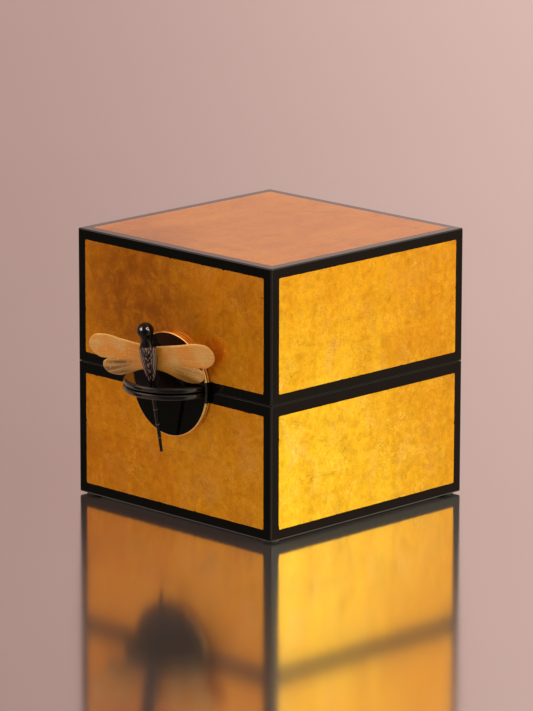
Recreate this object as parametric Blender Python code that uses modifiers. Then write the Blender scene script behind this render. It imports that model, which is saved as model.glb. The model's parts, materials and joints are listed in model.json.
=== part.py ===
"""Gilded lacquer keepsake box: a cube in two hinged halves, held shut by a dragonfly pin.

The front carries a round boss and a half-round ledge, both split at the seam. The dragonfly's
tail drops through the two ledge plates and keeps the halves together.
Metres, +Z up, the front faces -Y. The origin is under the middle of the whole object.
"""
import math

import bmesh
import bpy
from mathutils import Matrix, Vector

MM = 0.001
MERGE = 0.01 * MM            # points closer than this are one
SAME = 0.001 * MM            # levels closer than this are equal
EDGE_STEPS = 3              # segments of a rounded edge

# The cube and its boards
SIDE = 130 * MM             # outside of the cube, each way
WALL = 5 * MM               # board thickness, which is also the width of the lacquer border
EDGE_ROUND = 0.7 * MM       # radius of every outside edge, also along the seam
GAP = 0.3 * MM              # between pieces that touch
RECESS = 0.8 * MM           # depth of the bed of a gilded panel
PANEL = 0.5 * MM            # thickness of a gilded panel
BAND_BELOW = 5.4 * MM       # lacquer between the seam and the panels of the base
BAND_ABOVE = 4.8 * MM       # lacquer between the seam and the panels of the lid
LINING = 1.0 * MM           # felt on card inside the base and the lid
LINING_PLAY = 0.6 * MM      # round the lining cards
FOOT_RADIUS = 3.75 * MM
FOOT_INSET = 1.5 * MM       # from a foot's side to the cube's faces
FOOT_THICKNESS = 0.7 * MM

# The boss and the ledge on the front
BOSS_RADIUS = 25.2 * MM
BOSS_DEPTH = 2.5 * MM
BOSS_ROUND = 0.4 * MM
LEDGE_REACH = 23.6 * MM     # from the front face, and the radius of the ledge's outline
LEDGE_THICKNESS = 2.85 * MM
LEDGE_ROUND = 1.2 * MM

# The dragonfly, in its own frame: Z up along the tail, X along the wings, Y towards the box
PIN_ACROSS = 0.9 * MM       # from the middle of the front to the tail's axis, at the ledge's top
PIN_FORWARD = 14.5 * MM     # from the front face to the same point
LEAN_OUT = math.radians(11.6)
LEAN_RIGHT = math.radians(2.3)
TURN = math.radians(18.5)   # of the wings about the tail, the right one towards the box
TAIL_RADIUS = 1.3 * MM
TAIL_HOLE_PLAY = 0.08 * MM
TAIL_TOP = 9.0 * MM         # how far the tail reaches up into the body
TAIL_STRAIGHT = -3.4 * MM   # end of its straight part
TAIL_SWELL = (-7.0 * MM, 0.7)           # a point on the taper, and the taper's power
TAIL_TIP = -35.9 * MM
TAIL_TIP_RADIUS = 0.6 * MM
TAIL_TIP_ROUND = 0.5 * MM
TAIL_RINGS = (-13.7 * MM, -21.5 * MM, -28.3 * MM)
RING_RISE = 0.15 * MM
RING_HALF = 0.4 * MM
SLOT_CENTRE = (-0.4 * MM, 1.9 * MM)     # from the tail's axis, across and towards the box
SLOT_SIZE = (4.2 * MM, 5.9 * MM)        # lets the leaning tail swing out with the lid
SLOT_CORNER = 1.9 * MM
HEAD_RADIUS = 4.1 * MM
HEAD_HEIGHT = 26.3 * MM
HEAD_STEPS = 7              # of the crown, a half sphere
BODY_FOOT = 0.7 * MM
EYE_RADIUS = 0.9 * MM
EYE_DEPTH = 3.8 * MM        # from the head's middle to an eye's middle
EYE_SOCKET_PLAY = 0.1 * MM
EYE_TURN = math.radians(21.9)
EYE_SPREAD = math.radians(27.3)
EYE_LIFT = math.radians(34.5)
WING_THICKNESS = 1.4 * MM
WING_ROUND = 0.45 * MM
WING_ROOT = 0.3 * MM
WING_BACK = 3.2 * MM        # from the tail's axis to the middle of the wings' thickness
WING_SLOT = (4.4 * MM, 17.7 * MM)       # the wings' bed across the back of the thorax
WING_MIDDLE = 12.0 * MM     # height that the wings tilt about
WING_TILT = math.radians(1.28)
WING_REACH = 25.7 * MM      # from the front face to the left wing's tip, the furthest point

# The two butt hinges let into the seam at the back
HINGE_SPACING = 76 * MM
HINGE_WIDTH = 24 * MM
LEAF = 0.8 * MM
BARREL_RADIUS = 1.6 * MM
KNUCKLE = 7.7 * MM          # the middle knuckle, which belongs to the lid
PIN_RADIUS = 0.7 * MM
PIN_PLAY = 0.05 * MM
HEEL_REACH = 3.6 * MM       # stops the lid a little past upright
HEEL_THICKNESS = 1.2 * MM
SCREW_SPACING = 16 * MM
SCREW_HEAD = 1.25 * MM
SCREW_SHANK = 0.62 * MM
SCREW_LENGTH = 7.0 * MM
SCREW_HEAD_DEPTH = 0.65 * MM

# Worked out from the above
HALF = SIDE / 2
FIELD = HALF - WALL
BOTTOM = FOOT_THICKNESS + GAP
SEAM = BOTTOM + HALF
TOP = BOTTOM + SIDE
BASE_TOP = SEAM - GAP / 2
LID_BOTTOM = SEAM + GAP / 2
BARREL_OUT = HALF + GAP + BARREL_RADIUS
HINGE_REACH = GAP + BARREL_RADIUS + HEEL_REACH
BOX_Y = (WING_REACH - HINGE_REACH) / 2
BOX_CENTRE = Vector((0, BOX_Y, 0))
LID_AXIS = Vector((0, BOX_Y + BARREL_OUT, SEAM))
LEDGE_TOP = LID_BOTTOM + LEDGE_THICKNESS
LEDGE_BACK = HALF + GAP + BOSS_DEPTH + GAP
PIN_FOOT = Vector((PIN_ACROSS, BOX_Y - HALF - PIN_FORWARD, LEDGE_TOP))

# Radius and height down the face, neck and thorax, below the crown
THORAX = (
    (3.95 * MM, 25.5 * MM),
    (3.55 * MM, 24.7 * MM),
    (3.15 * MM, 23.9 * MM),
    (2.85 * MM, 23.0 * MM),
    (2.65 * MM, 22.1 * MM),
    (2.6 * MM, 21.3 * MM),
    (2.8 * MM, 20.5 * MM),
    (3.25 * MM, 19.5 * MM),
    (3.75 * MM, 18.5 * MM),
    (3.95 * MM, 17.2 * MM),
    (3.9 * MM, 15.3 * MM),
    (3.8 * MM, 13.0 * MM),
    (3.6 * MM, 10.4 * MM),
    (3.1 * MM, 7.2 * MM),
    (2.5 * MM, 4.4 * MM),
    (2.05 * MM, 2.4 * MM),
    (1.75 * MM, BODY_FOOT),
)

# Half of the wings' outline, root to root: (span, height, corner) in the dragonfly's frame
WING_OUTLINE = (
    (WING_ROOT, 5.5 * MM, True),
    (6.5 * MM, 4.3 * MM, False),
    (13.8 * MM, 1.5 * MM, False),
    (20.4 * MM, 0.35 * MM, False),
    (25.9 * MM, 2.5 * MM, False),
    (26.6 * MM, 6.2 * MM, False),
    (24.0 * MM, 8.4 * MM, True),
    (28.8 * MM, 9.1 * MM, False),
    (33.0 * MM, 14.0 * MM, False),
    (30.9 * MM, 19.3 * MM, False),
    (25.0 * MM, 20.9 * MM, False),
    (15.0 * MM, 19.3 * MM, False),
    (WING_ROOT, 16.9 * MM, True),
)


def clear_scene():
    for old in list(bpy.data.objects):
        bpy.data.objects.remove(old, do_unlink=True)


def new_collection(name):
    collection = bpy.data.collections.new(name)
    bpy.context.scene.collection.children.link(collection)
    return collection


def material(name, colour, roughness, metallic=0.0):
    made = bpy.data.materials.new(name)
    made.use_nodes = True
    shader = made.node_tree.nodes["Principled BSDF"]
    shader.inputs["Base Color"].default_value = (*colour, 1.0)
    shader.inputs["Roughness"].default_value = roughness
    shader.inputs["Metallic"].default_value = metallic
    made.diffuse_color = (*colour, 1.0)
    return made


clear_scene()
PARTS = new_collection("dragonfly_keepsake_box")
CUTTERS = new_collection("cutters")
LACQUER = material("black_lacquer", (0.010, 0.009, 0.008), 0.12)
GOLD = material("gold_leaf", (0.78, 0.42, 0.09), 0.34, 1.0)
HORN = material("black_horn", (0.018, 0.014, 0.012), 0.22)
AMBER = material("amber_horn", (0.62, 0.36, 0.13), 0.28)
SILVER = material("silver", (0.80, 0.77, 0.75), 0.20, 1.0)
BRASS = material("brass", (0.72, 0.50, 0.20), 0.28, 1.0)
FELT = material("black_felt", (0.020, 0.018, 0.018), 0.95)
RUBBER = material("black_rubber", (0.020, 0.020, 0.020), 0.70)


def mesh_from(bm, name):
    bmesh.ops.recalc_face_normals(bm, faces=bm.faces[:])
    mesh = bpy.data.meshes.new(name)
    bm.to_mesh(mesh)
    bm.free()
    return mesh


def place(name, mesh, finish, location=(0, 0, 0), rotation=(0, 0, 0)):
    """Makes a named piece of the box, or a hidden cutter when it has no finish."""
    made = bpy.data.objects.new(name, mesh)
    made.location = location
    made.rotation_euler = rotation
    if finish is None:
        CUTTERS.objects.link(made)
        made.hide_render = True
        made.display_type = "WIRE"
    else:
        PARTS.objects.link(made)
        mesh.materials.append(finish)
    return made


def empty(name, location, rotation=(0, 0, 0), parent=None):
    made = bpy.data.objects.new(name, None)
    made.location = location
    made.rotation_euler = rotation
    made.parent = parent
    PARTS.objects.link(made)
    return made


def box(name, low, high, finish, rounded=None):
    """A block from its low to its high corner, measured from the middle of the cube's foot.

    rounded is the box (low, high) whose outside edges, where the block reaches them, are rounded.
    """
    low, high = Vector(low), Vector(high)
    middle, size = (low + high) / 2, high - low
    bm = bmesh.new()
    bmesh.ops.create_cube(bm, size=1.0, matrix=Matrix.Diagonal((*size, 1.0)))
    if rounded:
        round_outside(bm, middle, *rounded)
    return place(name, mesh_from(bm, name), finish, middle + BOX_CENTRE)


def round_outside(bm, middle, low, high):
    """Rounds the edges of bm that lie on two faces of the box from low to high."""
    def on_faces(edge, axis, level):
        return all(abs(v.co[axis] + middle[axis] - level) < SAME for v in edge.verts)

    outside = []
    for edge in bm.edges:
        faces = sum(on_faces(edge, axis, corner[axis]) for axis in range(3) for corner in (low, high))
        if faces >= 2:
            outside.append(edge)
    bmesh.ops.bevel(bm, geom=outside, offset=EDGE_ROUND, segments=EDGE_STEPS, profile=0.5, affect="EDGES")


def rod(name, radius, start, end, finish, segments=32, end_radius=None):
    """A round bar, or a cone when it has an end radius, between two points in world space."""
    start, end = Vector(start), Vector(end)
    along = end - start
    bm = bmesh.new()
    bmesh.ops.create_cone(bm, cap_ends=True, segments=segments, depth=along.length,
                          radius1=radius, radius2=radius if end_radius is None else end_radius)
    turn = Vector((0, 0, 1)).rotation_difference(along).to_euler()
    made = place(name, mesh_from(bm, name), finish, (start + end) / 2, turn)
    smooth(made)
    return made


def turned(name, profile, finish, steps=32):
    """A round piece from its profile of (radius, height) points, listed from the top down."""
    bm = bmesh.new()
    points = [bm.verts.new((radius, 0, height)) for radius, height in profile]
    for upper, lower in zip(points, points[1:]):
        bm.edges.new((upper, lower))
    mesh = bpy.data.meshes.new(name)
    bm.to_mesh(mesh)
    bm.free()
    made = place(name, mesh, finish)
    screw = made.modifiers.new("turn", "SCREW")
    screw.axis = "Z"
    screw.steps = steps
    screw.render_steps = steps
    screw.use_merge_vertices = True
    screw.merge_threshold = MERGE
    screw.use_smooth_shade = True
    return made


def boolean(target, tool, operation="DIFFERENCE"):
    step = target.modifiers.new(tool.name, "BOOLEAN")
    step.operation = operation
    step.solver = "EXACT"
    step.object = tool


def row(piece, spacing):
    """Puts a piece and its copy at the two ends of a spacing along X that is centred on it."""
    piece.location.x -= spacing / 2
    repeat = piece.modifiers.new("row", "ARRAY")
    repeat.count = 2
    repeat.use_relative_offset = False
    repeat.use_constant_offset = True
    repeat.constant_offset_displace = (spacing, 0, 0)


def smooth(piece):
    piece.data.shade_smooth()
    piece.data.set_sharp_from_angle(angle=math.radians(35))


def soften(piece, width, segments=EDGE_STEPS):
    """Rounds the sharp edges of a piece."""
    bevel = piece.modifiers.new("edge", "BEVEL")
    bevel.width = width
    bevel.segments = segments
    bevel.limit_method = "ANGLE"
    bevel.angle_limit = math.radians(60)


def wall_sides():
    """Each wall's name, its plan corners, and the face that carries its panel."""
    inner = FIELD - GAP
    return (
        ("front", (-HALF, -HALF), (HALF, -FIELD), 1, -1),
        ("rear", (-HALF, FIELD), (HALF, HALF), 1, 1),
        ("left", (-HALF, -inner), (-FIELD, inner), 0, -1),
        ("right", (FIELD, -inner), (HALF, inner), 0, 1),
    )


def face_slab(axis, side, depth, low_z, high_z, margin, proud=0.0):
    """Corners of a slab let into a side face, a margin inside the panel's field."""
    low = [-FIELD + margin, -FIELD + margin, low_z + margin]
    high = [FIELD - margin, FIELD - margin, high_z - margin]
    ends = sorted((side * (HALF + proud), side * (HALF - depth)))
    low[axis], high[axis] = ends
    return low, high


def walls(half, low_z, high_z, field_low, field_high):
    """The four walls of one half, each with a gilded panel bedded in it. Returns the rear wall."""
    outside = ((-HALF, -HALF, low_z), (HALF, HALF, high_z))
    rear = None
    for name, low, high, axis, side in wall_sides():
        wall = box(f"{half}_{name}_wall", (*low, low_z), (*high, high_z), LACQUER, outside)
        bed = box(f"{half}_{name}_bed", *face_slab(axis, side, RECESS, field_low, field_high, 0, MM), None)
        boolean(wall, bed)
        box(f"{half}_{name}_gilding", *face_slab(axis, side, PANEL, field_low, field_high, GAP), GOLD)
        if name == "rear":
            rear = wall
    return rear


def square(name, reach, low_z, high_z, finish):
    return box(name, (-reach, -reach, low_z), (reach, reach, high_z), finish)


def boss_half(name, keep_above):
    """Half of the round boss that stands on the front face."""
    front = BOX_Y - HALF - GAP
    disc = rod(name, BOSS_RADIUS, (0, front, SEAM), (0, front - BOSS_DEPTH, SEAM), LACQUER, 64)
    soften(disc, BOSS_ROUND)
    boolean(disc, seam_cutter(name, BOSS_RADIUS + MM, keep_above))
    return disc


def seam_cutter(name, reach, keep_above):
    """A block over the front that takes away what lies on the other side of the seam."""
    level = LID_BOTTOM if keep_above else BASE_TOP
    other = level - reach if keep_above else level + reach
    low, high = sorted((level, other))
    return box(name + "_trim", (-reach, -HALF - reach, low), (reach, -HALF + reach, high), None)


def ledge_plate(name, low_z):
    """One plate of the half-round ledge, a round plate cut off along the boss."""
    centre = Vector((0, BOX_Y - HALF, low_z))
    plate = rod(name, LEDGE_REACH, centre, centre + Vector((0, 0, LEDGE_THICKNESS)), LACQUER, 64)
    soften(plate, LEDGE_ROUND)
    reach = LEDGE_REACH + MM
    back = box(name + "_back", (-reach, -LEDGE_BACK, low_z - MM),
               (reach, reach, low_z + LEDGE_THICKNESS + MM), None)
    boolean(plate, back)
    return plate


def pin_rotation(turn=0.0):
    """Turns the dragonfly's frame: about the tail, then out from the box, then to the right."""
    lean = Matrix.Rotation(LEAN_RIGHT, 3, "Y") @ Matrix.Rotation(LEAN_OUT, 3, "X")
    return (lean @ Matrix.Rotation(turn, 3, "Z")).to_euler()


def tail_profile():
    """Radius and height down the tail: straight in the ledge, then tapering, with raised rings."""
    swell, power = TAIL_SWELL

    def taper(height):
        along = (TAIL_STRAIGHT - height) / (TAIL_STRAIGHT - TAIL_TIP)
        return TAIL_RADIUS + (TAIL_TIP_RADIUS - TAIL_RADIUS) * along ** power

    profile = [(0, TAIL_TOP), (TAIL_RADIUS, TAIL_TOP), (TAIL_RADIUS, TAIL_STRAIGHT)]
    profile.append((taper(swell), swell))
    for ring in TAIL_RINGS:
        radius = taper(ring)
        profile.append((radius, ring + RING_HALF))
        profile.append((radius + RING_RISE, ring))
        profile.append((radius, ring - RING_HALF))
    profile.append((TAIL_TIP_RADIUS, TAIL_TIP + TAIL_TIP_ROUND))
    profile.append((TAIL_TIP_RADIUS / 2, TAIL_TIP + TAIL_TIP_ROUND / 5))
    profile.append((0, TAIL_TIP))
    return profile


def body_profile():
    """Radius and height down the dragonfly's head, neck and thorax."""
    profile = [(0, HEAD_HEIGHT + HEAD_RADIUS)]
    for step in range(1, HEAD_STEPS + 1):
        angle = math.pi / 2 * (1 - step / HEAD_STEPS)
        profile.append((HEAD_RADIUS * math.cos(angle), HEAD_HEIGHT + HEAD_RADIUS * math.sin(angle)))
    return profile + list(THORAX) + [(0, BODY_FOOT)]


def eye_directions():
    for side in (-1, 1):
        turn = EYE_TURN + side * EYE_SPREAD
        yield Vector((math.sin(turn) * math.cos(EYE_LIFT), -math.cos(turn) * math.cos(EYE_LIFT),
                      math.sin(EYE_LIFT)))


def ball(name, radius, centre, finish, segments=16):
    bm = bmesh.new()
    bmesh.ops.create_uvsphere(bm, u_segments=segments, v_segments=segments // 2, radius=radius)
    made = place(name, mesh_from(bm, name), finish, centre)
    smooth(made)
    return made


def wing_mesh(name, side):
    """A wing's plate, from its flat outline, upright in the dragonfly's frame."""
    curve = bpy.data.curves.new(name, "CURVE")
    curve.dimensions = "2D"
    curve.fill_mode = "BOTH"
    curve.extrude = WING_THICKNESS / 2
    curve.resolution_u = 4
    spline = curve.splines.new("BEZIER")
    spline.bezier_points.add(len(WING_OUTLINE) - 1)
    spline.use_cyclic_u = True
    for point, (span, height, corner) in zip(spline.bezier_points, WING_OUTLINE):
        point.co = (side * span, height, 0)
        point.handle_left_type = point.handle_right_type = "VECTOR" if corner else "AUTO"
    outline = bpy.data.objects.new(name + "_outline", curve)
    CUTTERS.objects.link(outline)
    evaluated = outline.evaluated_get(bpy.context.evaluated_depsgraph_get())
    mesh = bpy.data.meshes.new_from_object(evaluated)
    bpy.data.objects.remove(outline, do_unlink=True)
    bm = bmesh.new()
    bm.from_mesh(mesh)
    bmesh.ops.remove_doubles(bm, verts=bm.verts[:], dist=MERGE)
    bmesh.ops.rotate(bm, verts=bm.verts[:], matrix=Matrix.Rotation(math.pi / 2, 3, "X"))
    bpy.data.meshes.remove(mesh)
    rim = [edge for edge in bm.edges if edge.calc_face_angle() > math.radians(60)
           and abs(edge.verts[0].co.y - edge.verts[1].co.y) < SAME]
    bmesh.ops.bevel(bm, geom=rim, offset=WING_ROUND, segments=2, profile=0.5, affect="EDGES")
    return mesh_from(bm, name)


def wing_bed():
    """The cutter that clears the wings' bed across the back of the thorax."""
    near = WING_BACK - WING_THICKNESS / 2 - GAP
    low, high = WING_SLOT
    reach = 2 * HEAD_RADIUS
    bed = box("wing_bed", (-reach, near, low), (reach, near + reach, high), None)
    bed.location -= BOX_CENTRE
    return bed


def dragonfly(lid_axis):
    """The carved pin: its tail slides in the ledge, and the figure turns with it."""
    tail_axis = empty("dragonfly_axis", PIN_FOOT - lid_axis.location, pin_rotation(TURN), lid_axis)
    tail = turned("dragonfly_tail", tail_profile(), HORN, 24)
    body = turned("dragonfly_body", body_profile(), HORN, 32)
    bore = rod("dragonfly_bore", TAIL_RADIUS + PIN_PLAY, (0, 0, -MM), (0, 0, TAIL_TOP + GAP), None)
    bed = wing_bed()
    boolean(body, bore)
    boolean(body, bed)
    made = [tail, body, bore, bed]
    shift = Vector((-WING_MIDDLE * math.sin(WING_TILT), WING_BACK, 0))
    for side, hand in ((-1, "left"), (1, "right")):
        wing = place(f"{hand}_wing", wing_mesh(f"{hand}_wing", side), AMBER, shift, (0, WING_TILT, 0))
        made.append(wing)
    for hand, direction in zip(("left", "right"), eye_directions()):
        centre = Vector((0, 0, HEAD_HEIGHT)) + direction * EYE_DEPTH
        eye = ball(f"{hand}_eye", EYE_RADIUS, centre, SILVER)
        socket = ball(f"{hand}_eye_socket", EYE_RADIUS + EYE_SOCKET_PLAY, centre, None)
        boolean(body, socket)
        made += [eye, socket]
    for piece in made:
        piece.parent = tail_axis


def ledge_holes(base_ledge, lid_ledge):
    """The tail's round hole through the lid's plate, and the longer slot in the base's plate."""
    reach = 2 * LEDGE_THICKNESS
    hole = rod("lid_tail_hole", TAIL_RADIUS + TAIL_HOLE_PLAY, (0, 0, -reach), (0, 0, reach), None)
    hole.location = PIN_FOOT
    hole.rotation_euler = pin_rotation()
    boolean(lid_ledge, hole)
    across, along = (size / 2 for size in SLOT_SIZE)
    x, y = PIN_ACROSS + SLOT_CENTRE[0], SLOT_CENTRE[1] - HALF - PIN_FORWARD
    slot = box("base_tail_slot", (x - across, y - along, BASE_TOP - reach),
               (x + across, y + along, BASE_TOP + reach), None)
    soften(slot, SLOT_CORNER, 5)
    boolean(base_ledge, slot)


def knuckle_span(owner):
    """Where a leaf's knuckles lie along the barrel, from the hinge's middle."""
    middle, end = KNUCKLE / 2, HINGE_WIDTH / 2
    if owner == "lid":
        return ((-middle, middle),)
    return ((-end, -middle - GAP), (middle + GAP, end))


def leaf(name, owner, x):
    """A hinge leaf let into the seam, with its own share of the barrel."""
    up = 1 if owner == "lid" else -1
    face = SEAM + up * GAP / 2
    low, high = sorted((face, face + up * LEAF))
    barrel_y = BOX_Y + BARREL_OUT
    plate = box(name, (x - HINGE_WIDTH / 2, FIELD + GAP, low), (x + HINGE_WIDTH / 2, HALF, high), BRASS)
    for number, (start, end) in enumerate(knuckle_span(owner)):
        tab = box(f"{name}_tab_{number}", (x + start, FIELD + 2 * GAP, low), (x + end, BARREL_OUT, high), None)
        knuckle = rod(f"{name}_knuckle_{number}", BARREL_RADIUS, (x + start, barrel_y, SEAM),
                      (x + end, barrel_y, SEAM), None, 24)
        boolean(plate, tab, "UNION")
        boolean(plate, knuckle, "UNION")
        if owner == "lid":
            heel = box(name + "_heel", (x + start, BARREL_OUT, SEAM - HEEL_THICKNESS / 2),
                       (x + end, BARREL_OUT + HEEL_REACH, SEAM + HEEL_THICKNESS / 2), None)
            boolean(plate, heel, "UNION")
    bore = rod(name + "_bore", PIN_RADIUS + PIN_PLAY, (x - HINGE_WIDTH, barrel_y, SEAM),
               (x + HINGE_WIDTH, barrel_y, SEAM), None, 24)
    boolean(plate, bore)
    return plate


def screw_places():
    """Where the screws of one half stand along X."""
    return [hinge * HINGE_SPACING / 2 + screw * SCREW_SPACING / 2 for hinge in (-1, 1) for screw in (-1, 1)]


def screws(owner, rear_wall, leaves):
    """One half's countersunk hinge screws, their holes, and the mortises of its two leaves."""
    up = 1 if owner == "lid" else -1
    face = SEAM + up * GAP / 2
    y = BOX_Y + (FIELD + HALF) / 2
    profile = [(0, 0), (SCREW_HEAD, 0), (SCREW_SHANK, -SCREW_HEAD_DEPTH),
               (SCREW_SHANK, SCREW_SHANK - SCREW_LENGTH), (0, -SCREW_LENGTH)]
    for number, x in enumerate(screw_places(), 1):
        screw = turned(f"{owner}_hinge_screw_{number}", profile, BRASS, 16)
        screw.location = (x, y, face)
        screw.rotation_euler.x = math.pi if owner == "lid" else 0
    deep = face + up * (SCREW_LENGTH + GAP)
    holes = rod(f"{owner}_screw_holes", SCREW_SHANK + GAP, (0, y, min(face, deep)),
                (0, y, max(face, deep)), None, 16)
    narrow = (SCREW_SHANK + GAP, face + up * (SCREW_HEAD_DEPTH + GAP))
    wide = (SCREW_HEAD + 2 * GAP, face - up * GAP)
    low, high = (wide, narrow) if owner == "lid" else (narrow, wide)
    sinks = rod(f"{owner}_countersinks", low[0], (0, y, low[1]), (0, y, high[1]), None, 16, high[0])
    bottom, top = sorted((face + up * (LEAF + GAP), face - up * MM))
    mortises = box(f"{owner}_mortises", (-HINGE_WIDTH / 2 - GAP, FIELD - MM, bottom),
                   (HINGE_WIDTH / 2 + GAP, HALF + MM, top), None)
    for piece in (holes, sinks):
        row(piece, SCREW_SPACING)
        row(piece, HINGE_SPACING)
    row(mortises, HINGE_SPACING)
    boolean(rear_wall, mortises)
    boolean(rear_wall, holes)
    for plate in leaves:
        boolean(plate, holes)
        boolean(plate, sinks)


def hinges(base_rear, lid_rear):
    """Two butt hinges, each of a base leaf, a lid leaf with its stop heel, and a pin."""
    leaves = {"base": [], "lid": []}
    barrel_y = BOX_Y + BARREL_OUT
    for hand, x in (("left", -HINGE_SPACING / 2), ("right", HINGE_SPACING / 2)):
        for owner, plates in leaves.items():
            plates.append(leaf(f"{owner}_hinge_leaf_{hand}", owner, x))
        rod(f"hinge_pin_{hand}", PIN_RADIUS, (x - HINGE_WIDTH / 2, barrel_y, SEAM),
            (x + HINGE_WIDTH / 2, barrel_y, SEAM), BRASS, 24)
    screws("base", base_rear, leaves["base"])
    screws("lid", lid_rear, leaves["lid"])


def feet():
    """Four round pads under the corners."""
    reach = HALF - FOOT_INSET - FOOT_RADIUS
    for end, y in (("front", -reach), ("rear", reach)):
        for hand, x in (("left", -reach), ("right", reach)):
            rod(f"foot_{end}_{hand}", FOOT_RADIUS, (x, BOX_Y + y, 0),
                (x, BOX_Y + y, FOOT_THICKNESS), RUBBER, 24)


def hang_lid():
    """Hangs everything named for the lid on the hinges' axis, and returns that axis."""
    axis = empty("lid_axis", LID_AXIS)
    for collection in (PARTS, CUTTERS):
        for piece in collection.objects:
            if piece.type == "MESH" and piece.name.startswith("lid_"):
                piece.parent = axis
                piece.location -= LID_AXIS
    return axis


def build():
    inside = FIELD - GAP
    base_rear = walls("base", BOTTOM, BASE_TOP, BOTTOM + WALL, SEAM - BAND_BELOW)
    square("base_floor_board", inside, BOTTOM, BOTTOM + WALL, LACQUER)
    lining_low = BOTTOM + WALL + GAP
    square("base_lining", FIELD - LINING_PLAY, lining_low, lining_low + LINING, FELT)
    lid_rear = walls("lid", LID_BOTTOM, TOP, SEAM + BAND_ABOVE, TOP - WALL)
    board_top = TOP - RECESS
    square("lid_top_board", inside, board_top - WALL, board_top, LACQUER)
    square("lid_top_gilding", inside, TOP - PANEL, TOP, GOLD)
    lining_high = board_top - WALL - GAP
    square("lid_lining", FIELD - LINING_PLAY, lining_high - LINING, lining_high, FELT)
    boss_half("base_boss", False)
    boss_half("lid_boss", True)
    base_ledge = ledge_plate("base_ledge", BASE_TOP - LEDGE_THICKNESS)
    lid_ledge = ledge_plate("lid_ledge", LID_BOTTOM)
    ledge_holes(base_ledge, lid_ledge)
    hinges(base_rear, lid_rear)
    feet()
    dragonfly(hang_lid())


build()
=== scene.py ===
"""The looks of the dragonfly keepsake box: black lacquer, gold leaf and carved horn.

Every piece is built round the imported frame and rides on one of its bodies.
Metres, +Z up, the front faces -Y.
"""
import json
import math

import bmesh
import bpy
import numpy as np
from mathutils import Matrix, Quaternion, Vector, geometry, noise


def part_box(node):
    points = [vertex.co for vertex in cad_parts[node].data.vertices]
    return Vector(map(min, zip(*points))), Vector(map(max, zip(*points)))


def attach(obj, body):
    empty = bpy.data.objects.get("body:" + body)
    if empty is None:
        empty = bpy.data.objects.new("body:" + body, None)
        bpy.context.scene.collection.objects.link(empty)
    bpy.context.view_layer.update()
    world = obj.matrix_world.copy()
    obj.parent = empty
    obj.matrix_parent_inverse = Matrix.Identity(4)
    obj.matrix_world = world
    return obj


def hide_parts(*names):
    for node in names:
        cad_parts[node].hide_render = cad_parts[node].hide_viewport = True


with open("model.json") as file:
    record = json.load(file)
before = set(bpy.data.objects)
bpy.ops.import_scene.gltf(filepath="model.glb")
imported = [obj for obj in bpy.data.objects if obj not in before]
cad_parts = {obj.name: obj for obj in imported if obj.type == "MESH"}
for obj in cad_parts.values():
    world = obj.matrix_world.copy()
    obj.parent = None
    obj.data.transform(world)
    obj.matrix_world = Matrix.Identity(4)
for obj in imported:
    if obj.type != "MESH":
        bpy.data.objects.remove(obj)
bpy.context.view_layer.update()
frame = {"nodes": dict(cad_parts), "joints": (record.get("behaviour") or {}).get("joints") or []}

MM = 0.001

# ---------------------------------------------------------------- sizes taken from the frame
WALL_LOW, WALL_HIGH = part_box("base_front_wall")
HALF = WALL_HIGH.x                              # half of the cube's side
FRONT = WALL_LOW.y                              # the plane of the front face
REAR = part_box("base_rear_wall")[1].y
WALL = WALL_HIGH.y - WALL_LOW.y
BOTTOM = WALL_LOW.z
BASE_TOP = WALL_HIGH.z
LID_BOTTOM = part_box("lid_front_wall")[0].z
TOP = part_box("lid_front_wall")[1].z
SEAM = (BASE_TOP + LID_BOTTOM) / 2
SEAM_GAP = LID_BOTTOM - BASE_TOP
MIDDLE_Y = (FRONT + REAR) / 2
FLOOR_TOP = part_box("base_floor_board")[1].z
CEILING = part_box("lid_top_board")[0].z
BOX_MIDDLE = Vector((0, MIDDLE_Y, SEAM))
BOSS_LOW, BOSS_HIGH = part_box("base_boss")
BOSS_RADIUS = BOSS_HIGH.x
BOSS_BACK = BOSS_HIGH.y
BOSS_DEPTH = BOSS_HIGH.y - BOSS_LOW.y
LEDGE_LOW, LEDGE_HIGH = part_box("lid_ledge")
LEDGE_RADIUS = FRONT - LEDGE_LOW.y
LEDGE_BACK = LEDGE_HIGH.y
LEDGE_THICKNESS = LEDGE_HIGH.z - LEDGE_LOW.z
LEAF_SPREAD = SEAM_GAP                          # the leaf fills the play that the gilded boards have

BODIES = {"base": "box_base", "lid": "lid"}     # what the pieces of each half ride on

# ---------------------------------------------------------------- sizes of the finish
EDGE_ROUND = 0.7 * MM
INNER_ROUND = 0.6 * MM
LEAF_PROUD = 0.05 * MM                          # leaf and varnish over the lacquer
LEAF_STEP = 0.5 * MM                            # between the points of the leaf's outline
LEAF_RAGGED = 0.16 * MM
LEAF_NICK = 0.55 * MM
BOSS_ROUND = 0.75 * MM
LEDGE_ROUND = 1.15 * MM


def pin_frame():
    """The tail's own frame: Z up the tail, leaning out from the box and to the right."""
    joint = next(j for j in frame["joints"] if j["name"] == "dragonfly_turn")
    up = Vector(joint["axis"]).normalized()
    lean_out = math.asin(-up.y)
    lean_right = math.atan2(up.x, up.z)
    turn = Matrix.Rotation(lean_right, 4, "Y") @ Matrix.Rotation(lean_out, 4, "X")
    return Matrix.Translation(joint["pos_m"]) @ turn


def node_points(node, own_frame):
    """A CAD node's points in a frame, as rows."""
    back = own_frame.inverted()
    return np.array([back @ v.co for v in frame["nodes"][node].data.vertices])


def figure_frame():
    """The figure's own frame: Z up the tail, X along the wings, Y towards the box."""
    across = node_points("right_wing", PIN).mean(0) - node_points("left_wing", PIN).mean(0)
    return PIN @ Matrix.Rotation(math.atan2(across[1], across[0]), 4, "Z")


PIN = pin_frame()
FIGURE = figure_frame()


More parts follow.
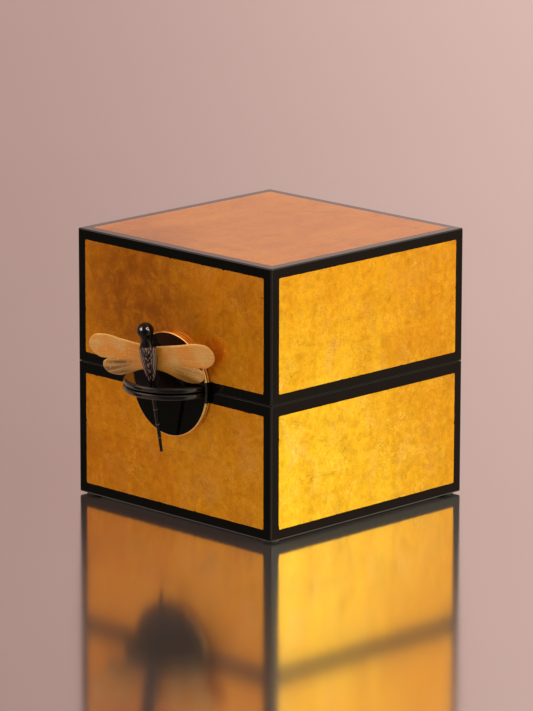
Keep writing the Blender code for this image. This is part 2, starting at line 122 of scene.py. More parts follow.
# ---------------------------------------------------------------- node trees
class Graph:
    """Builds the node tree of one material or world."""

    def __init__(self, name, kind="materials"):
        self.owner = getattr(bpy.data, kind).new(name)
        self.owner.use_nodes = True
        self.tree = self.owner.node_tree
        self.shader = self.tree.nodes["Principled BSDF" if kind == "materials" else "Background"]

    def add(self, kind, **settings):
        node = self.tree.nodes.new(kind)
        for key, value in settings.items():
            setattr(node, key, value)
        return node

    def feed(self, node, values):
        """Links outputs to a node's sockets, or sets the sockets to numbers, vectors or colours."""
        for socket, value in values.items():
            if isinstance(value, bpy.types.NodeSocket):
                self.tree.links.new(value, node.inputs[socket])
            else:
                node.inputs[socket].default_value = value
        return node

    def scaled(self, vector, scale):
        return self.feed(self.add("ShaderNodeMapping"), {"Vector": vector, "Scale": scale}).outputs[0]

    def coordinates(self, scale=(1, 1, 1), kind="Object"):
        """The place on the piece, with each axis scaled."""
        return self.scaled(self.add("ShaderNodeTexCoord").outputs[kind], scale)

    def facing(self, axis):
        """How far the surface faces along an axis, from -1 to 1."""
        normal = self.add("ShaderNodeTexCoord").outputs["Normal"]
        return self.feed(self.add("ShaderNodeSeparateXYZ"), {0: normal}).outputs[axis]

    def attribute(self, name):
        return self.add("ShaderNodeAttribute", attribute_name=name).outputs["Fac"]

    def operate(self, kind, operation, values):
        return self.feed(self.add(kind, operation=operation), dict(enumerate(values)))

    def math(self, operation, *values):
        return self.operate("ShaderNodeMath", operation, values).outputs[0]

    def times(self, first, second):
        return self.math("MULTIPLY", first, second)

    def vector_math(self, operation, *values):
        return self.operate("ShaderNodeVectorMath", operation, values).outputs[0]

    def distance(self, where, point):
        """How far a place is from a point."""
        return self.operate("ShaderNodeVectorMath", "DISTANCE", (where, point)).outputs["Value"]

    def along(self, where, direction):
        """How far a place lies along a direction."""
        return self.operate("ShaderNodeVectorMath", "DOT_PRODUCT", (where, direction)).outputs["Value"]

    def mix(self, factor, first, second, blend="MIX"):
        """Two colours mixed. The colours' sockets are the node's seventh and eighth."""
        node = self.add("ShaderNodeMix", data_type="RGBA", blend_type=blend)
        return self.feed(node, {0: factor, 6: first, 7: second}).outputs[2]

    def remap(self, value, low, high, to_low=0.0, to_high=1.0):
        """A smooth step of a value from low to high."""
        node = self.add("ShaderNodeMapRange", interpolation_type="SMOOTHSTEP")
        return self.feed(node, {"Value": value, "From Min": low, "From Max": high,
                                "To Min": to_low, "To Max": to_high}).outputs[0]

    def noise(self, where, scale, detail=3.0, roughness=0.5, distortion=0.0, output="Fac"):
        node = self.add("ShaderNodeTexNoise")
        return self.feed(node, {"Vector": where, "Scale": scale, "Detail": detail,
                                "Roughness": roughness, "Distortion": distortion}).outputs[output]

    def thread(self, where, scale, width, distortion=1.0, detail=2.0):
        """Thin winding lines, 1 on the line, where a noise crosses its middle."""
        level = self.noise(where, scale, detail, 0.5, distortion)
        off = self.math("ABSOLUTE", self.math("SUBTRACT", level, 0.5))
        return self.remap(off, 0.0, width, 1.0, 0.0)

    def bump(self, height, distance, strength):
        node = self.add("ShaderNodeBump")
        return self.feed(node, {"Height": height, "Distance": distance, "Strength": strength}).outputs[0]

    def finish(self, **sockets):
        """Sets the shader's sockets, named with underscores for spaces."""
        self.feed(self.shader, {name.replace("_", " "): value for name, value in sockets.items()})
        return self.owner


def colour(red, green, blue):
    return (red, green, blue, 1.0)


def lacquer_material():
    """Polished black lacquer, rubbed in places, with a trace of dust. The underside is matt."""
    g = Graph("black_lacquer")
    place = g.coordinates()
    rubbed = g.noise(place, 45, 4, 0.6)
    dust = g.remap(g.noise(place, 2600, 2), 0.66, 0.80)
    dusty = g.times(dust, g.remap(g.noise(place, 25, 3), 0.45, 0.7))
    tone = g.mix(rubbed, colour(0.0015, 0.0014, 0.0012), colour(0.0036, 0.0031, 0.0027))
    tone = g.mix(g.times(dusty, 0.25), tone, colour(0.040, 0.034, 0.030))
    return g.finish(
        Base_Color=tone,
        Roughness=g.remap(rubbed, 0.3, 0.75, 0.16, 0.26),
        Specular_IOR_Level=0.02,
        Coat_Weight=g.remap(g.facing("Z"), -0.98, -0.90, 0.0, 0.75),
        Coat_Roughness=0.035,
        Coat_Normal=g.bump(g.noise(place, 330, 2), 0.00003, 0.25),
        Normal=g.bump(g.noise(place, 1500, 2), 0.00002, 0.4),
    )


PAINTED_LIGHT_REACH = (25 * MM, 155 * MM)            # the leaf is painted paler towards the front right foot and on the right face: a painted pool of light
SHADED_PLACE = (-24 * MM, FRONT, 105 * MM)  # and browner round this place on the lid's front
SHADED_REACH = (12 * MM, 56 * MM)


def gold_material(name, shine, deep, bright, away):
    """Gold leaf in squares under varnish, on a map in centimetres laid over each face.

    The leaf varies from deep to bright. It is tinted by the colour away, less so near the front right foot,
    where it is painted paler and yellower as a painted pool of light.
    """
    g = Graph(name)
    place = g.coordinates(kind="UV")
    drift = g.vector_math("SUBTRACT", g.noise(place, 1.6, 3, output="Color"), (0.5, 0.5, 0.5))
    waved = g.vector_math("ADD", place, g.vector_math("MULTIPLY", drift, (0.14, 0.14, 0.0)))
    squares = g.add("ShaderNodeTexBrick", offset=0.37, offset_frequency=2)
    g.feed(squares, {"Vector": waved, "Scale": 1.0, "Brick Width": 4.4, "Row Height": 4.1,
                     "Color1": colour(0, 0, 0), "Color2": colour(1, 1, 1), "Mortar": colour(0.5, 0.5, 0.5),
                     "Mortar Size": 0.022, "Mortar Smooth": 0.9})
    square_tone = squares.outputs["Color"]
    overlap = squares.outputs["Fac"]

    bands = g.noise(g.scaled(place, (1.2, 0.30, 1)), 0.7, 3, 0.5, 0.3)
    mottle = g.noise(place, 3.0, 6, 0.72, 0.5)
    grain = g.noise(waved, 10, 4, 0.72, 0.9)
    clouds = g.noise(place, 0.42, 5, 0.62, 0.5)
    olive = g.remap(g.noise(place, 1.0, 4, 0.6, 0.8), 0.46, 0.68)
    beige = g.remap(g.noise(g.scaled(place, (1.0, 0.6, 1)), 0.60, 4, 0.6, 0.4), 0.50, 0.70)
    cracks = g.times(g.thread(place, 0.8, 0.008, 1.6, 4),
                    g.remap(g.noise(place, 0.5, 3, 0.6), 0.46, 0.58))
    flow = g.vector_math("ADD", waved, g.vector_math("MULTIPLY", drift, (1.1, 1.1, 0.0)))
    hairs = g.noise(g.scaled(flow, (7.0, 2.6, 1)), 1.9, 4, 0.72, 1.2)
    wisps = g.times(g.remap(hairs, 0.57, 0.70), g.remap(g.noise(place, 0.9, 3, 0.6), 0.46, 0.62))
    fibres = g.times(g.thread(g.scaled(flow, (2.2, 1.3, 1)), 2.3, 0.014, 1.4, 3),
                    g.remap(g.noise(place, 0.8, 3), 0.50, 0.64))
    light = g.math("MAXIMUM", g.times(wisps, 0.60), fibres)
    on_box = g.coordinates()
    # painted light: the leaf is painted paler near the front right foot, most on faces turned to the right
    painted_light_near_foot = g.times(g.remap(g.distance(on_box, (HALF, FRONT, 0)), *PAINTED_LIGHT_REACH, 1.0, 0.0),
                       g.remap(g.facing("X"), 0.1, 0.9, 0.35, 1.0))
    shaded = g.times(g.remap(g.distance(on_box, SHADED_PLACE), *SHADED_REACH, 1.0, 0.0),
                    g.remap(g.noise(place, 1.3, 5, 0.7, 0.6), 0.30, 0.62, 0.35, 1.0))

    tone = g.math("MULTIPLY_ADD", mottle, 0.52, g.times(square_tone, 0.10))
    tone = g.math("MULTIPLY_ADD", bands, 0.34, tone)
    leaf = g.mix(g.remap(tone, 0.34, 0.62), deep, bright)
    leaf = g.mix(g.times(olive, 0.32), leaf, colour(0.72, 0.36, 0.003))
    leaf = g.mix(g.times(beige, 0.34), leaf, colour(0.92, 0.47, 0.085))
    leaf = g.mix(g.remap(clouds, 0.50, 0.78, 0.0, 0.40), leaf, colour(0.46, 0.160, 0.002))
    leaf = g.mix(g.times(g.remap(grain, 0.46, 0.70), 0.34), leaf, colour(0.46, 0.165, 0.002))
    leaf = g.mix(g.times(cracks, 0.60), leaf, colour(0.25, 0.08, 0.002))
    leaf = g.mix(g.times(overlap, 0.24), leaf, colour(0.50, 0.18, 0.002))
    # the pale wisps and fibres are wrinkles in the leaf, bumped below, and their brighter colour is a
    # painted glint
    leaf = g.mix(g.times(light, 0.80), leaf, colour(1.0, 0.72, 0.14))
    # painted pool of light near the front right foot, tinted by the colour away elsewhere
    leaf = g.mix(1.0, leaf, g.mix(painted_light_near_foot, away, colour(1.05, 1.28, 2.3)), "MULTIPLY")
    leaf = g.mix(g.times(shaded, 0.80), leaf, colour(0.30, 0.085, 0.002))

    relief = g.math("MULTIPLY_ADD", light, 1.3, g.times(mottle, 1.1))
    relief = g.math("MULTIPLY_ADD", grain, 0.40, relief)
    relief = g.math("MULTIPLY_ADD", overlap, 0.5, relief)
    relief = g.math("MULTIPLY_ADD", cracks, -0.5, relief)
    return g.finish(
        Base_Color=leaf,
        Metallic=1.0,
        Roughness=g.remap(mottle, 0.3, 0.7, shine, shine + 0.12),
        Coat_Weight=0.5,
        Coat_Roughness=0.07,
        Normal=g.bump(relief, 0.00006, 0.55),
        Coat_Normal=g.bump(g.noise(place, 2.2, 2), 0.00004, 0.25),
    )


HORN_GRAIN = (1, 1, 0.12)           # the grain is drawn out along the piece


def horn_streaks(g, place):
    """Brown streaks along a piece of black horn: the streaks, and the horn's colour."""
    streaks = g.noise(place, 1400, 4, 0.6)
    tone = g.mix(g.remap(streaks, 0.5, 0.75), colour(0.0030, 0.0026, 0.0023), colour(0.012, 0.008, 0.006))
    return streaks, tone


def horn_material():
    """Polished black horn."""
    g = Graph("black_horn")
    streaks, tone = horn_streaks(g, g.coordinates(HORN_GRAIN))
    scratches = g.noise(g.coordinates((1, 1, 0.4)), 2600, 3, 0.7)
    return g.finish(
        Base_Color=tone,
        Roughness=g.remap(streaks, 0.3, 0.8, 0.15, 0.30),
        Specular_IOR_Level=0.06,
        Coat_Weight=0.25,
        Coat_Roughness=0.07,
        Normal=g.bump(scratches, 0.00003, 0.35),
    )


def carved_horn_material():
    """Black horn whose carved strands are left matt and brown-grey. On the tail's rings the same brown-grey
    is a painted highlight.
    """
    g = Graph("carved_horn")
    place = g.coordinates(HORN_GRAIN)
    strand = g.attribute("strand")
    _, black = horn_streaks(g, place)
    cut = g.mix(g.noise(place, 2300, 3), colour(0.19, 0.130, 0.115), colour(0.40, 0.30, 0.27))
    return g.finish(
        Base_Color=g.mix(strand, black, cut),
        Roughness=g.remap(strand, 0.0, 1.0, 0.20, 0.55),
        Specular_IOR_Level=0.06,
        Coat_Weight=0.25,
        Coat_Roughness=0.06,
        Normal=g.bump(g.noise(place, 2600, 3, 0.7), 0.00003, 0.35),
    )


def amber_material():
    """Honey-coloured horn, thin enough to glow, with grey and olive streaks down the veins."""
    g = Graph("amber_horn")
    fan = g.coordinates((0.42, 0.05, 1), kind="UV")
    streaks = g.noise(fan, 0.75, 2, 0.5, 0.3)
    fine = g.noise(g.scaled(fan, (4.0, 1.5, 1)), 1.0, 2, 0.5)
    haze = g.noise(g.coordinates(), 105, 2)
    lower = g.attribute("lower_lobe")
    rim = g.attribute("rim")
    painted_nick_highlight = g.attribute("painted_nick_highlight")
    honey = g.mix(g.remap(haze, 0.38, 0.62), colour(1.0, 0.44, 0.034), colour(0.98, 0.58, 0.130))
    olive = g.mix(g.remap(streaks, 0.30, 0.70), colour(0.19, 0.100, 0.007), colour(0.66, 0.38, 0.070))
    tone = g.mix(lower, honey, olive)
    pale = g.times(g.remap(streaks, 0.54, 0.74), 0.38)
    tone = g.mix(pale, tone, colour(1.0, 0.70, 0.26))
    brown = g.times(g.remap(fine, 0.55, 0.80), 0.05)
    tone = g.mix(brown, tone, colour(0.50, 0.27, 0.05))
    # painted glow: the horn is painted paler along its thin rim
    tone = g.mix(g.times(rim, 0.75), tone, colour(1.0, 0.66, 0.22))
    # the nicks are cut into the wing; their pale colour is a painted highlight
    tone = g.mix(g.times(painted_nick_highlight, 0.80), tone, colour(1.0, 0.82, 0.60))
    return g.finish(
        Base_Color=tone,
        Roughness=g.remap(fine, 0.3, 0.8, 0.24, 0.34),
        Specular_IOR_Level=0.25,
        Transmission_Weight=0.15,
        Subsurface_Weight=0.25,
        Subsurface_Radius=(0.0030, 0.0014, 0.0005),
        Subsurface_Scale=1.0,
        Coat_Weight=0.5,
        Coat_Roughness=0.08,
        Normal=g.bump(streaks, 0.00008, 0.10),
    )


def silver_material():
    """Silver studs, bright and dull in patches."""
    g = Graph("silver")
    wear = g.noise(g.coordinates(), 2200, 3)
    return g.finish(
        Base_Color=g.mix(g.remap(wear, 0.45, 0.75), colour(0.86, 0.83, 0.80), colour(0.55, 0.49, 0.44)),
        Metallic=1.0,
        Roughness=g.remap(wear, 0.3, 0.7, 0.14, 0.34),
    )


def brass_material():
    """Brushed brass with a brown bloom in places."""
    g = Graph("hinge_brass")
    brushed = g.noise(g.coordinates((0.05, 1, 1)), 5200, 3, 0.7)
    bloom = g.remap(g.noise(g.coordinates(), 420, 4, 0.6), 0.48, 0.74)
    tone = g.mix(brushed, colour(0.58, 0.36, 0.12), colour(0.82, 0.57, 0.24))
    return g.finish(
        Base_Color=g.mix(g.times(bloom, 0.5), tone, colour(0.30, 0.17, 0.06)),
        Metallic=1.0,
        Roughness=g.remap(brushed, 0.3, 0.7, 0.22, 0.42),
        Normal=g.bump(brushed, 0.00002, 0.5),
    )


def felt_material():
    """Black felt: matted fibres with a soft bloom at grazing angles."""
    g = Graph("black_felt")
    place = g.coordinates()
    fibres = g.noise(place, 3200, 4, 0.75, 1.5)
    clumps = g.noise(place, 420, 3)
    tone = g.mix(fibres, colour(0.008, 0.0075, 0.0075), colour(0.045, 0.042, 0.041))
    return g.finish(
        Base_Color=g.mix(g.times(clumps, 0.5), tone, colour(0.016, 0.015, 0.015)),
        Roughness=g.remap(fibres, 0.2, 0.8, 0.85, 1.0),
        Sheen_Weight=0.35,
        Sheen_Roughness=0.5,
        Normal=g.bump(fibres, 0.00025, 0.8),
    )


def rubber_material():
    """Moulded black rubber, matt and finely pitted."""
    g = Graph("foot_rubber")
    place = g.coordinates()
    pits = g.noise(place, 2400, 3, 0.7)
    return g.finish(
        Base_Color=g.mix(pits, colour(0.009, 0.009, 0.009), colour(0.026, 0.025, 0.024)),
        Roughness=g.remap(pits, 0.3, 0.8, 0.62, 0.85),
        Normal=g.bump(pits, 0.00006, 0.6),
    )


LACQUER = lacquer_material()
GOLD = gold_material("gold_leaf", 0.40, colour(0.84, 0.345, 0.0030), colour(1.0, 0.500, 0.0100),
                     colour(0.82, 0.72, 0.50))
# the boss's gilded rim is the same gold leaf painted brighter and yellower: a painted highlight
PAINTED_BRIGHT_RIM_GOLD = gold_material("rim_leaf_painted_bright", 0.24, colour(1.0, 0.50, 0.060), colour(1.0, 0.70, 0.180),
                    colour(1.0, 0.92, 0.75))
HORN = horn_material()
CARVED = carved_horn_material()
AMBER = amber_material()
SILVER = silver_material()
BRASS = brass_material()
FELT = felt_material()
RUBBER = rubber_material()


# ---------------------------------------------------------------- making pieces
def stand(name, bm, finish=None):
    """Puts a bmesh in the scene as an object."""
    mesh = bpy.data.meshes.new(name)
    bmesh.ops.recalc_face_normals(bm, faces=bm.faces[:])
    bm.to_mesh(mesh)
    bm.free()
    made = bpy.data.objects.new(name, mesh)
    bpy.context.scene.collection.objects.link(made)
    if finish is not None:
        mesh.materials.append(finish)
    return made


def carve(made, tools):
    """Cuts tools out of an object for good, and removes them."""
    for tool in tools:
        step = made.modifiers.new(tool.name, "BOOLEAN")
        step.operation = "DIFFERENCE"
        step.solver = "EXACT"
        step.object = tool
    graph = bpy.context.evaluated_depsgraph_get()
    mesh = bpy.data.meshes.new_from_object(made.evaluated_get(graph))
    made.modifiers.clear()
    made.data = mesh
    for tool in tools:
        bpy.data.objects.remove(tool, do_unlink=True)


def shade(made, angle=40.0):
    """Smooth shading that keeps flat faces flat and sharp corners sharp."""
    made.data.shade_smooth()
    made.data.set_sharp_from_angle(angle=math.radians(angle))
    flat = made.modifiers.new("flat_faces", "WEIGHTED_NORMAL")
    flat.keep_sharp = True
    flat.weight = 100


def settle(made, body, slot, *nodes):
    """A finished piece rides on its body and stands for its CAD nodes."""
    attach(made, body)
    if nodes:
        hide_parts(*nodes)


def block(low, high, rounding=0.0, segments=6):
    """A bmesh block from its low to its high corner, with every edge rounded."""
    low, high = Vector(low), Vector(high)
    bm = bmesh.new()
    size = Matrix.Diagonal((*(high - low), 1.0))
    bmesh.ops.create_cube(bm, size=1.0, matrix=Matrix.Translation((low + high) / 2) @ size)
    if rounding:
        bmesh.ops.bevel(bm, geom=bm.edges[:], offset=rounding, segments=segments, profile=0.5,
                        affect="EDGES")
    return bm


def ramp(value, low, high):
    """A straight step of a value, 0 at low and 1 at high."""
    return min(1.0, max(0.0, (value - low) / (high - low)))


def about_z(radius, height, turn):
    """The place at a radius, a height and a turn about Z."""
    return (radius * math.cos(turn), radius * math.sin(turn), height)


def turned(profile, segments=96):
    """A closed bmesh turned about Z from (radius, height) points. A radius of 0 is a pole."""
    bm = bmesh.new()
    turns = [2 * math.pi * i / segments for i in range(segments)]
    rings = []
    for radius, height in profile:
        places = [(0, 0, height)] if radius == 0 else [about_z(radius, height, t) for t in turns]
        rings.append([bm.verts.new(place) for place in places])
    for upper, lower in zip(rings, rings[1:]):
        for i in range(segments):
            j = (i + 1) % segments
            corners = [ring[k % len(ring)] for ring, k in ((upper, i), (upper, j), (lower, j), (lower, i))]
            bm.faces.new(list(dict.fromkeys(corners)))
    return bm


def swept(section, turns):
    """A closed bmesh: a closed section of (radius, height) points carried through angles about Z."""
    bm = bmesh.new()
    loops = [[bm.verts.new(about_z(radius, height, t)) for radius, height in section] for t in turns]
    count = len(section)
    for near, far in zip(loops, loops[1:]):
        for i in range(count):
            j = (i + 1) % count
            bm.faces.new((near[i], near[j], far[j], far[i]))
    bm.faces.new(loops[0])
    bm.faces.new(loops[-1])
    return bm


def arc(radius, height, reach, start, end, steps=8):
    """Profile points on an arc of a given reach round (radius, height), from start to end degrees."""
    points = []
    for i in range(steps + 1):
        t = math.radians(start + (end - start) * i / steps)
        points.append((radius + reach * math.cos(t), height + reach * math.sin(t)))
    return points


def rod(name, radius, start, end, segments=48):
    """A plain bar between two points, used as a cutter."""
    start, end = Vector(start), Vector(end)
    along = end - start
    bm = bmesh.new()
    turn = Vector((0, 0, 1)).rotation_difference(along).to_matrix().to_4x4()
    bmesh.ops.create_cone(bm, cap_ends=True, segments=segments, radius1=radius, radius2=radius,
                          depth=along.length, matrix=Matrix.Translation((start + end) / 2) @ turn)
    return stand(name, bm)


# ---------------------------------------------------------------- the two lacquered shells
HINGE_LEAF = 0.8 * MM           # thickness
SEAM_ROUND = 0.25 * MM


def mortises(half):
    """Cutters for the hinge leaves let into the rear wall."""
    cutters = []
    leaf_low, leaf_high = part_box("base_hinge_leaf_left")
    half_width = (leaf_high.x - leaf_low.x) / 2 + SEAM_GAP
    deep = HINGE_LEAF + SEAM_GAP
    bottom, top = (LID_BOTTOM - MM, LID_BOTTOM + deep) if half == "lid" else (BASE_TOP - deep, BASE_TOP + MM)
    for hand in ("left", "right"):
        low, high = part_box(f"{half}_hinge_leaf_{hand}")
        middle = (low.x + high.x) / 2
        cutters.append(stand("mortise", block((middle - half_width, REAR - WALL - MM, bottom),
                                              (middle + half_width, REAR + MM, top))))
    return cutters


def shell(half, low_z, high_z, cavity_low, cavity_high, board):
    """One half of the carcass: a rounded block, nearly sharp along the seam and hollowed from it."""
    up = half == "lid"
    seam_z = low_z if up else high_z
    past = 2 * EDGE_ROUND
    ends = (low_z - past, high_z) if up else (low_z, high_z + past)
    low = (-HALF + LEAF_PROUD, FRONT + LEAF_PROUD, ends[0])
    high = (HALF - LEAF_PROUD, REAR - LEAF_PROUD, ends[1])
    made = stand(f"{half}_shell", block(low, high, EDGE_ROUND), LACQUER)
    beyond = (seam_z - 2 * past, seam_z) if up else (seam_z, seam_z + 2 * past)
    cut = block((-2 * HALF, FRONT - HALF, beyond[0]), (2 * HALF, REAR + HALF, beyond[1]))
    carve(made, [stand("beyond", cut)])
    bm = bmesh.new()
    bm.from_mesh(made.data)
    rim = [e for e in bm.edges if all(abs(v.co.z - seam_z) < 1e-6 for v in e.verts)
           and any(abs(f.normal.z) < 0.5 for f in e.link_faces)]
    bmesh.ops.bevel(bm, geom=rim, offset=SEAM_ROUND, segments=3, profile=0.5, affect="EDGES")
    bm.to_mesh(made.data)
    bm.free()
    inner = HALF - WALL
    hollow = stand("hollow", block((-inner, FRONT + WALL, cavity_low), (inner, REAR - WALL, cavity_high),
                                   INNER_ROUND, 4))
    carve(made, [hollow, *mortises(half)])
    shade(made)
    walls = [f"{half}_{side}_wall" for side in ("front", "rear", "left", "right")]
    settle(made, BODIES[half], "black_lacquer", *walls, board)


def shells():
    shell("base", BOTTOM, BASE_TOP, FLOOR_TOP, SEAM + HALF, "base_floor_board")
    shell("lid", LID_BOTTOM, TOP - LEAF_PROUD, SEAM - HALF, CEILING, "lid_top_board")


# ---------------------------------------------------------------- gold leaf on the faces
def ragged(length, key):
    """How far a leaf's edge draws back at points along a side of that length."""
    back = []
    count = round(length / LEAF_STEP)
    for i in range(count):
        along = i * LEAF_STEP / MM
        fine = noise.noise(Vector((along / 0.9, key * 7.3, 0.5)))
        broad = noise.noise(Vector((along / 6.0, key * 3.1, 8.5)))
        nick = max(0.0, noise.noise(Vector((along / 2.1, key * 5.7, 21.5))) - 0.52)
        back.append(LEAF_RAGGED * (0.5 + 0.5 * fine + 0.4 * broad) + LEAF_NICK * nick * 3)
    return [max(0.0, b) for b in back]


def leaf_outline(width, height, key):
    """The torn outline of the leaf on one face, from its low left corner, anticlockwise."""
    corners = [Vector((0, 0)), Vector((width, 0)), Vector((width, height)), Vector((0, height))]
    points = []
    for number, start in enumerate(corners):
        end = corners[(number + 1) % 4]
        along = (end - start).normalized()
        inward = Vector((-along.y, along.x))
        for i, back in enumerate(ragged((end - start).length, key + number)):
            if i == 0:
                continue
            points.append(start + along * (i * LEAF_STEP) + inward * back)
    return points


def leaf_skin(node, across, upward, outward, key, map_start):
    """Gold leaf over one face, in place of its gilded board."""
    low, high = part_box(node)
    size = high - low
    width = abs(size.dot(across)) + 2 * LEAF_SPREAD
    height = abs(size.dot(upward)) + 2 * LEAF_SPREAD
    face = (low + high) / 2 + outward * abs(size.dot(outward)) / 2
    start = face - across * width / 2 - upward * height / 2
    outline = leaf_outline(width, height, key)
    bm = bmesh.new()
    maps = bm.loops.layers.uv.new("leaf")
    outer = [bm.verts.new(start + across * p.x + upward * p.y) for p in outline]
    inner = [bm.verts.new(v.co - outward * 1.5 * LEAF_PROUD) for v in outer]
    bm.faces.new(outer)
    bm.faces.new(inner[::-1])
    for i in range(len(outer)):
        j = (i + 1) % len(outer)
        bm.faces.new((outer[i], inner[i], inner[j], outer[j]))
    for facet in bm.faces:
        for loop in facet.loops:
            from_start = loop.vert.co - start
            loop[maps].uv = (from_start.dot(across) / (10 * MM) + map_start[0],
                             from_start.dot(upward) / (10 * MM) + map_start[1])
    made = stand(node.replace("gilding", "gold_leaf"), bm, GOLD)
    settle(made, BODIES[node.split("_")[0]], "gold_leaf", node)


# Where each face's map starts sets which part of the leaf's pattern it gets.
# In centimetres, for front, right, rear and left.
MAP_STARTS = {
    "base": ((3.3, 5.4), (31.0, 2.0), (57.0, 7.0), (83.0, 4.0)),
    "lid": ((11.0, 23.0), (35.5, 27.0), (61.0, 21.0), (88.0, 25.0)),
    "top": (22.0, 47.0),
}


def leaf_skins():
    """The leaf on every gilded face."""
    east, north, up = Vector((1, 0, 0)), Vector((0, 1, 0)), Vector((0, 0, 1))
    faces = (("front", east, up, -north), ("right", north, up, east),
             ("rear", -east, up, north), ("left", -north, up, -east))
    for half, row in (("base", 0), ("lid", 1)):
        for column, (side, across, upward, outward) in enumerate(faces):
            leaf_skin(f"{half}_{side}_gilding", across, upward, outward, 10 * column + 50 * row + 1,
                      MAP_STARTS[half][column])
    leaf_skin("lid_top_gilding", east, north, up, 91, MAP_STARTS["top"])


# ---------------------------------------------------------------- boss and ledge
def front_matrix():
    """Carries a piece turned about Z to the front face: its height runs out of the face."""
    return Matrix.Translation((0, BOSS_BACK, SEAM)) @ Matrix.Rotation(math.pi / 2, 4, "X")


def trim(half, reach):
    """A cutter for what lies on the other side of the seam."""
    bottom = LID_BOTTOM - reach if half == "lid" else BASE_TOP
    return stand("trim", block((-reach, FRONT - reach, bottom), (reach, FRONT + reach, bottom + reach)))


RIM_GOLD = 0.06 * MM            # gold on the boss's side stands this much over the lacquer
RIM_GROOVE = 0.16 * MM
GROOVE_PLACE = (0.62, 0.12)     # the groove's middle and half width, as shares of the rim's depth
RIM_SUNK = 0.25 * MM            # the gold reaches this deep into the lacquer
RIM_MAP_STARTS = {"base": (40, 60), "lid": (70, 60)}    # centimetres
RIM_END = 72                    # degrees of the rounded edge that are gilded


def boss(half):
    """One half of the round boss, lacquered, with a gilded side wall outside the seam's band."""
    core = BOSS_RADIUS - RIM_GOLD
    edge = arc(core - BOSS_ROUND, BOSS_DEPTH - BOSS_ROUND, BOSS_ROUND, 90, 0)
    made = stand(f"{half}_boss_lacquer", turned([(0, BOSS_DEPTH), *edge, (core, 0), (0, 0)], 192), LACQUER)
    made.data.transform(front_matrix())
    carve(made, [trim(half, 2 * BOSS_RADIUS)])
    shade(made)
    settle(made, BODIES[half], "black_lacquer", f"{half}_boss")

    low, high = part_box(f"{half}_front_gilding")
    band = (low.z - LEAF_SPREAD - SEAM) if half == "lid" else (SEAM - high.z - LEAF_SPREAD)
    start = math.asin(band / BOSS_RADIUS)
    steps = 128
    turns = [start + (math.pi - 2 * start) * i / steps for i in range(steps + 1)]
    if half == "base":
        turns = [-t for t in turns]
    rim = stand(f"{half}_boss_gold_rim", swept(rim_section(core), turns), PAINTED_BRIGHT_RIM_GOLD)
    rim.data.transform(front_matrix())
    lay_rim_map(rim, RIM_MAP_STARTS[half])
    shade(rim)
    settle(rim, BODIES[half], "gold_leaf")


def rim_section(core):
    """The gilded side wall in section: two soft beads with a groove between, and the rounded edge."""
    wide = BOSS_DEPTH - BOSS_ROUND
    outer = []
    steps = 24
    for i in range(steps + 1):
        along = i / steps
        groove = math.exp(-((along - GROOVE_PLACE[0]) / GROOVE_PLACE[1]) ** 2)
        outer.append((BOSS_RADIUS - RIM_GROOVE * groove, wide * along))
    outer += arc(core - BOSS_ROUND, wide, BOSS_ROUND + RIM_GOLD, 8, RIM_END, 10)
    inner = arc(core - BOSS_ROUND, wide, BOSS_ROUND - RIM_SUNK, RIM_END, 0, 6)
    return outer + inner + [(core - RIM_SUNK, 0)]


def lay_rim_map(rim, start):
    """The leaf's map on the rim: round the boss, and across its depth, in centimetres."""
    maps = rim.data.uv_layers.new(name="leaf")
    for loop in rim.data.loops:
        co = rim.data.vertices[loop.vertex_index].co
        turn = math.atan2(co.z - SEAM, co.x)
        around = abs(turn) * BOSS_RADIUS / (10 * MM)
        depth = (BOSS_BACK - co.y) / (10 * MM)
        maps.data[loop.index].uv = (around + start[0], depth + start[1])


def ledge(half):
    """One plate of the half-round ledge, with a round rim and the tail's opening."""
    low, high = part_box(f"{half}_ledge")
    flat = LEDGE_RADIUS - LEDGE_ROUND
    profile = [(0, LEDGE_THICKNESS), *arc(flat, LEDGE_THICKNESS - LEDGE_ROUND, LEDGE_ROUND, 90, 0, 10),
               *arc(flat, LEDGE_ROUND, LEDGE_ROUND, 0, -90, 10), (0, 0)]
    made = stand(f"{half}_ledge_plate", turned(profile, 256), LACQUER)
    made.data.transform(Matrix.Translation((0, FRONT, low.z)))
    reach = 2 * LEDGE_RADIUS
    behind = stand("behind", block((-reach, LEDGE_BACK, low.z - reach), (reach, reach, high.z + reach)))
    carve(made, [behind, tail_opening(half)])
    shade(made)
    settle(made, BODIES[half], "black_lacquer", f"{half}_ledge")


TAIL_RADIUS = 1.3 * MM
TAIL_PLAY = 0.08 * MM
SLOT_CENTRE = (-0.4 * MM, 1.9 * MM)         # from the tail's axis
SLOT_SIZE = (4.2 * MM, 5.9 * MM)
SLOT_CORNER = 1.9 * MM


def tail_opening(half):
    """The tail's round hole in the lid's plate, or the longer slot in the base's plate."""
    foot = PIN.translation
    if half == "lid":
        up = PIN.to_3x3() @ Vector((0, 0, 2 * LEDGE_THICKNESS))
        return rod("tail_hole", TAIL_RADIUS + TAIL_PLAY, foot - up, foot + up)
    across, along = (size / 2 for size in SLOT_SIZE)
    x, y = foot.x + SLOT_CENTRE[0], foot.y + SLOT_CENTRE[1]
    bm = block((x - across, y - along, BASE_TOP - 2 * LEDGE_THICKNESS),
               (x + across, y + along, BASE_TOP + 2 * LEDGE_THICKNESS))
    upright = [e for e in bm.edges if abs(e.verts[0].co.z - e.verts[1].co.z) > LEDGE_THICKNESS]
    bmesh.ops.bevel(bm, geom=upright, offset=SLOT_CORNER, segments=10, profile=0.5, affect="EDGES")
    return stand("tail_slot", bm)


# ---------------------------------------------------------------- the dragonfly
HEAD_RADIUS = 4.1 * MM
HEAD_HEIGHT = 26.3 * MM
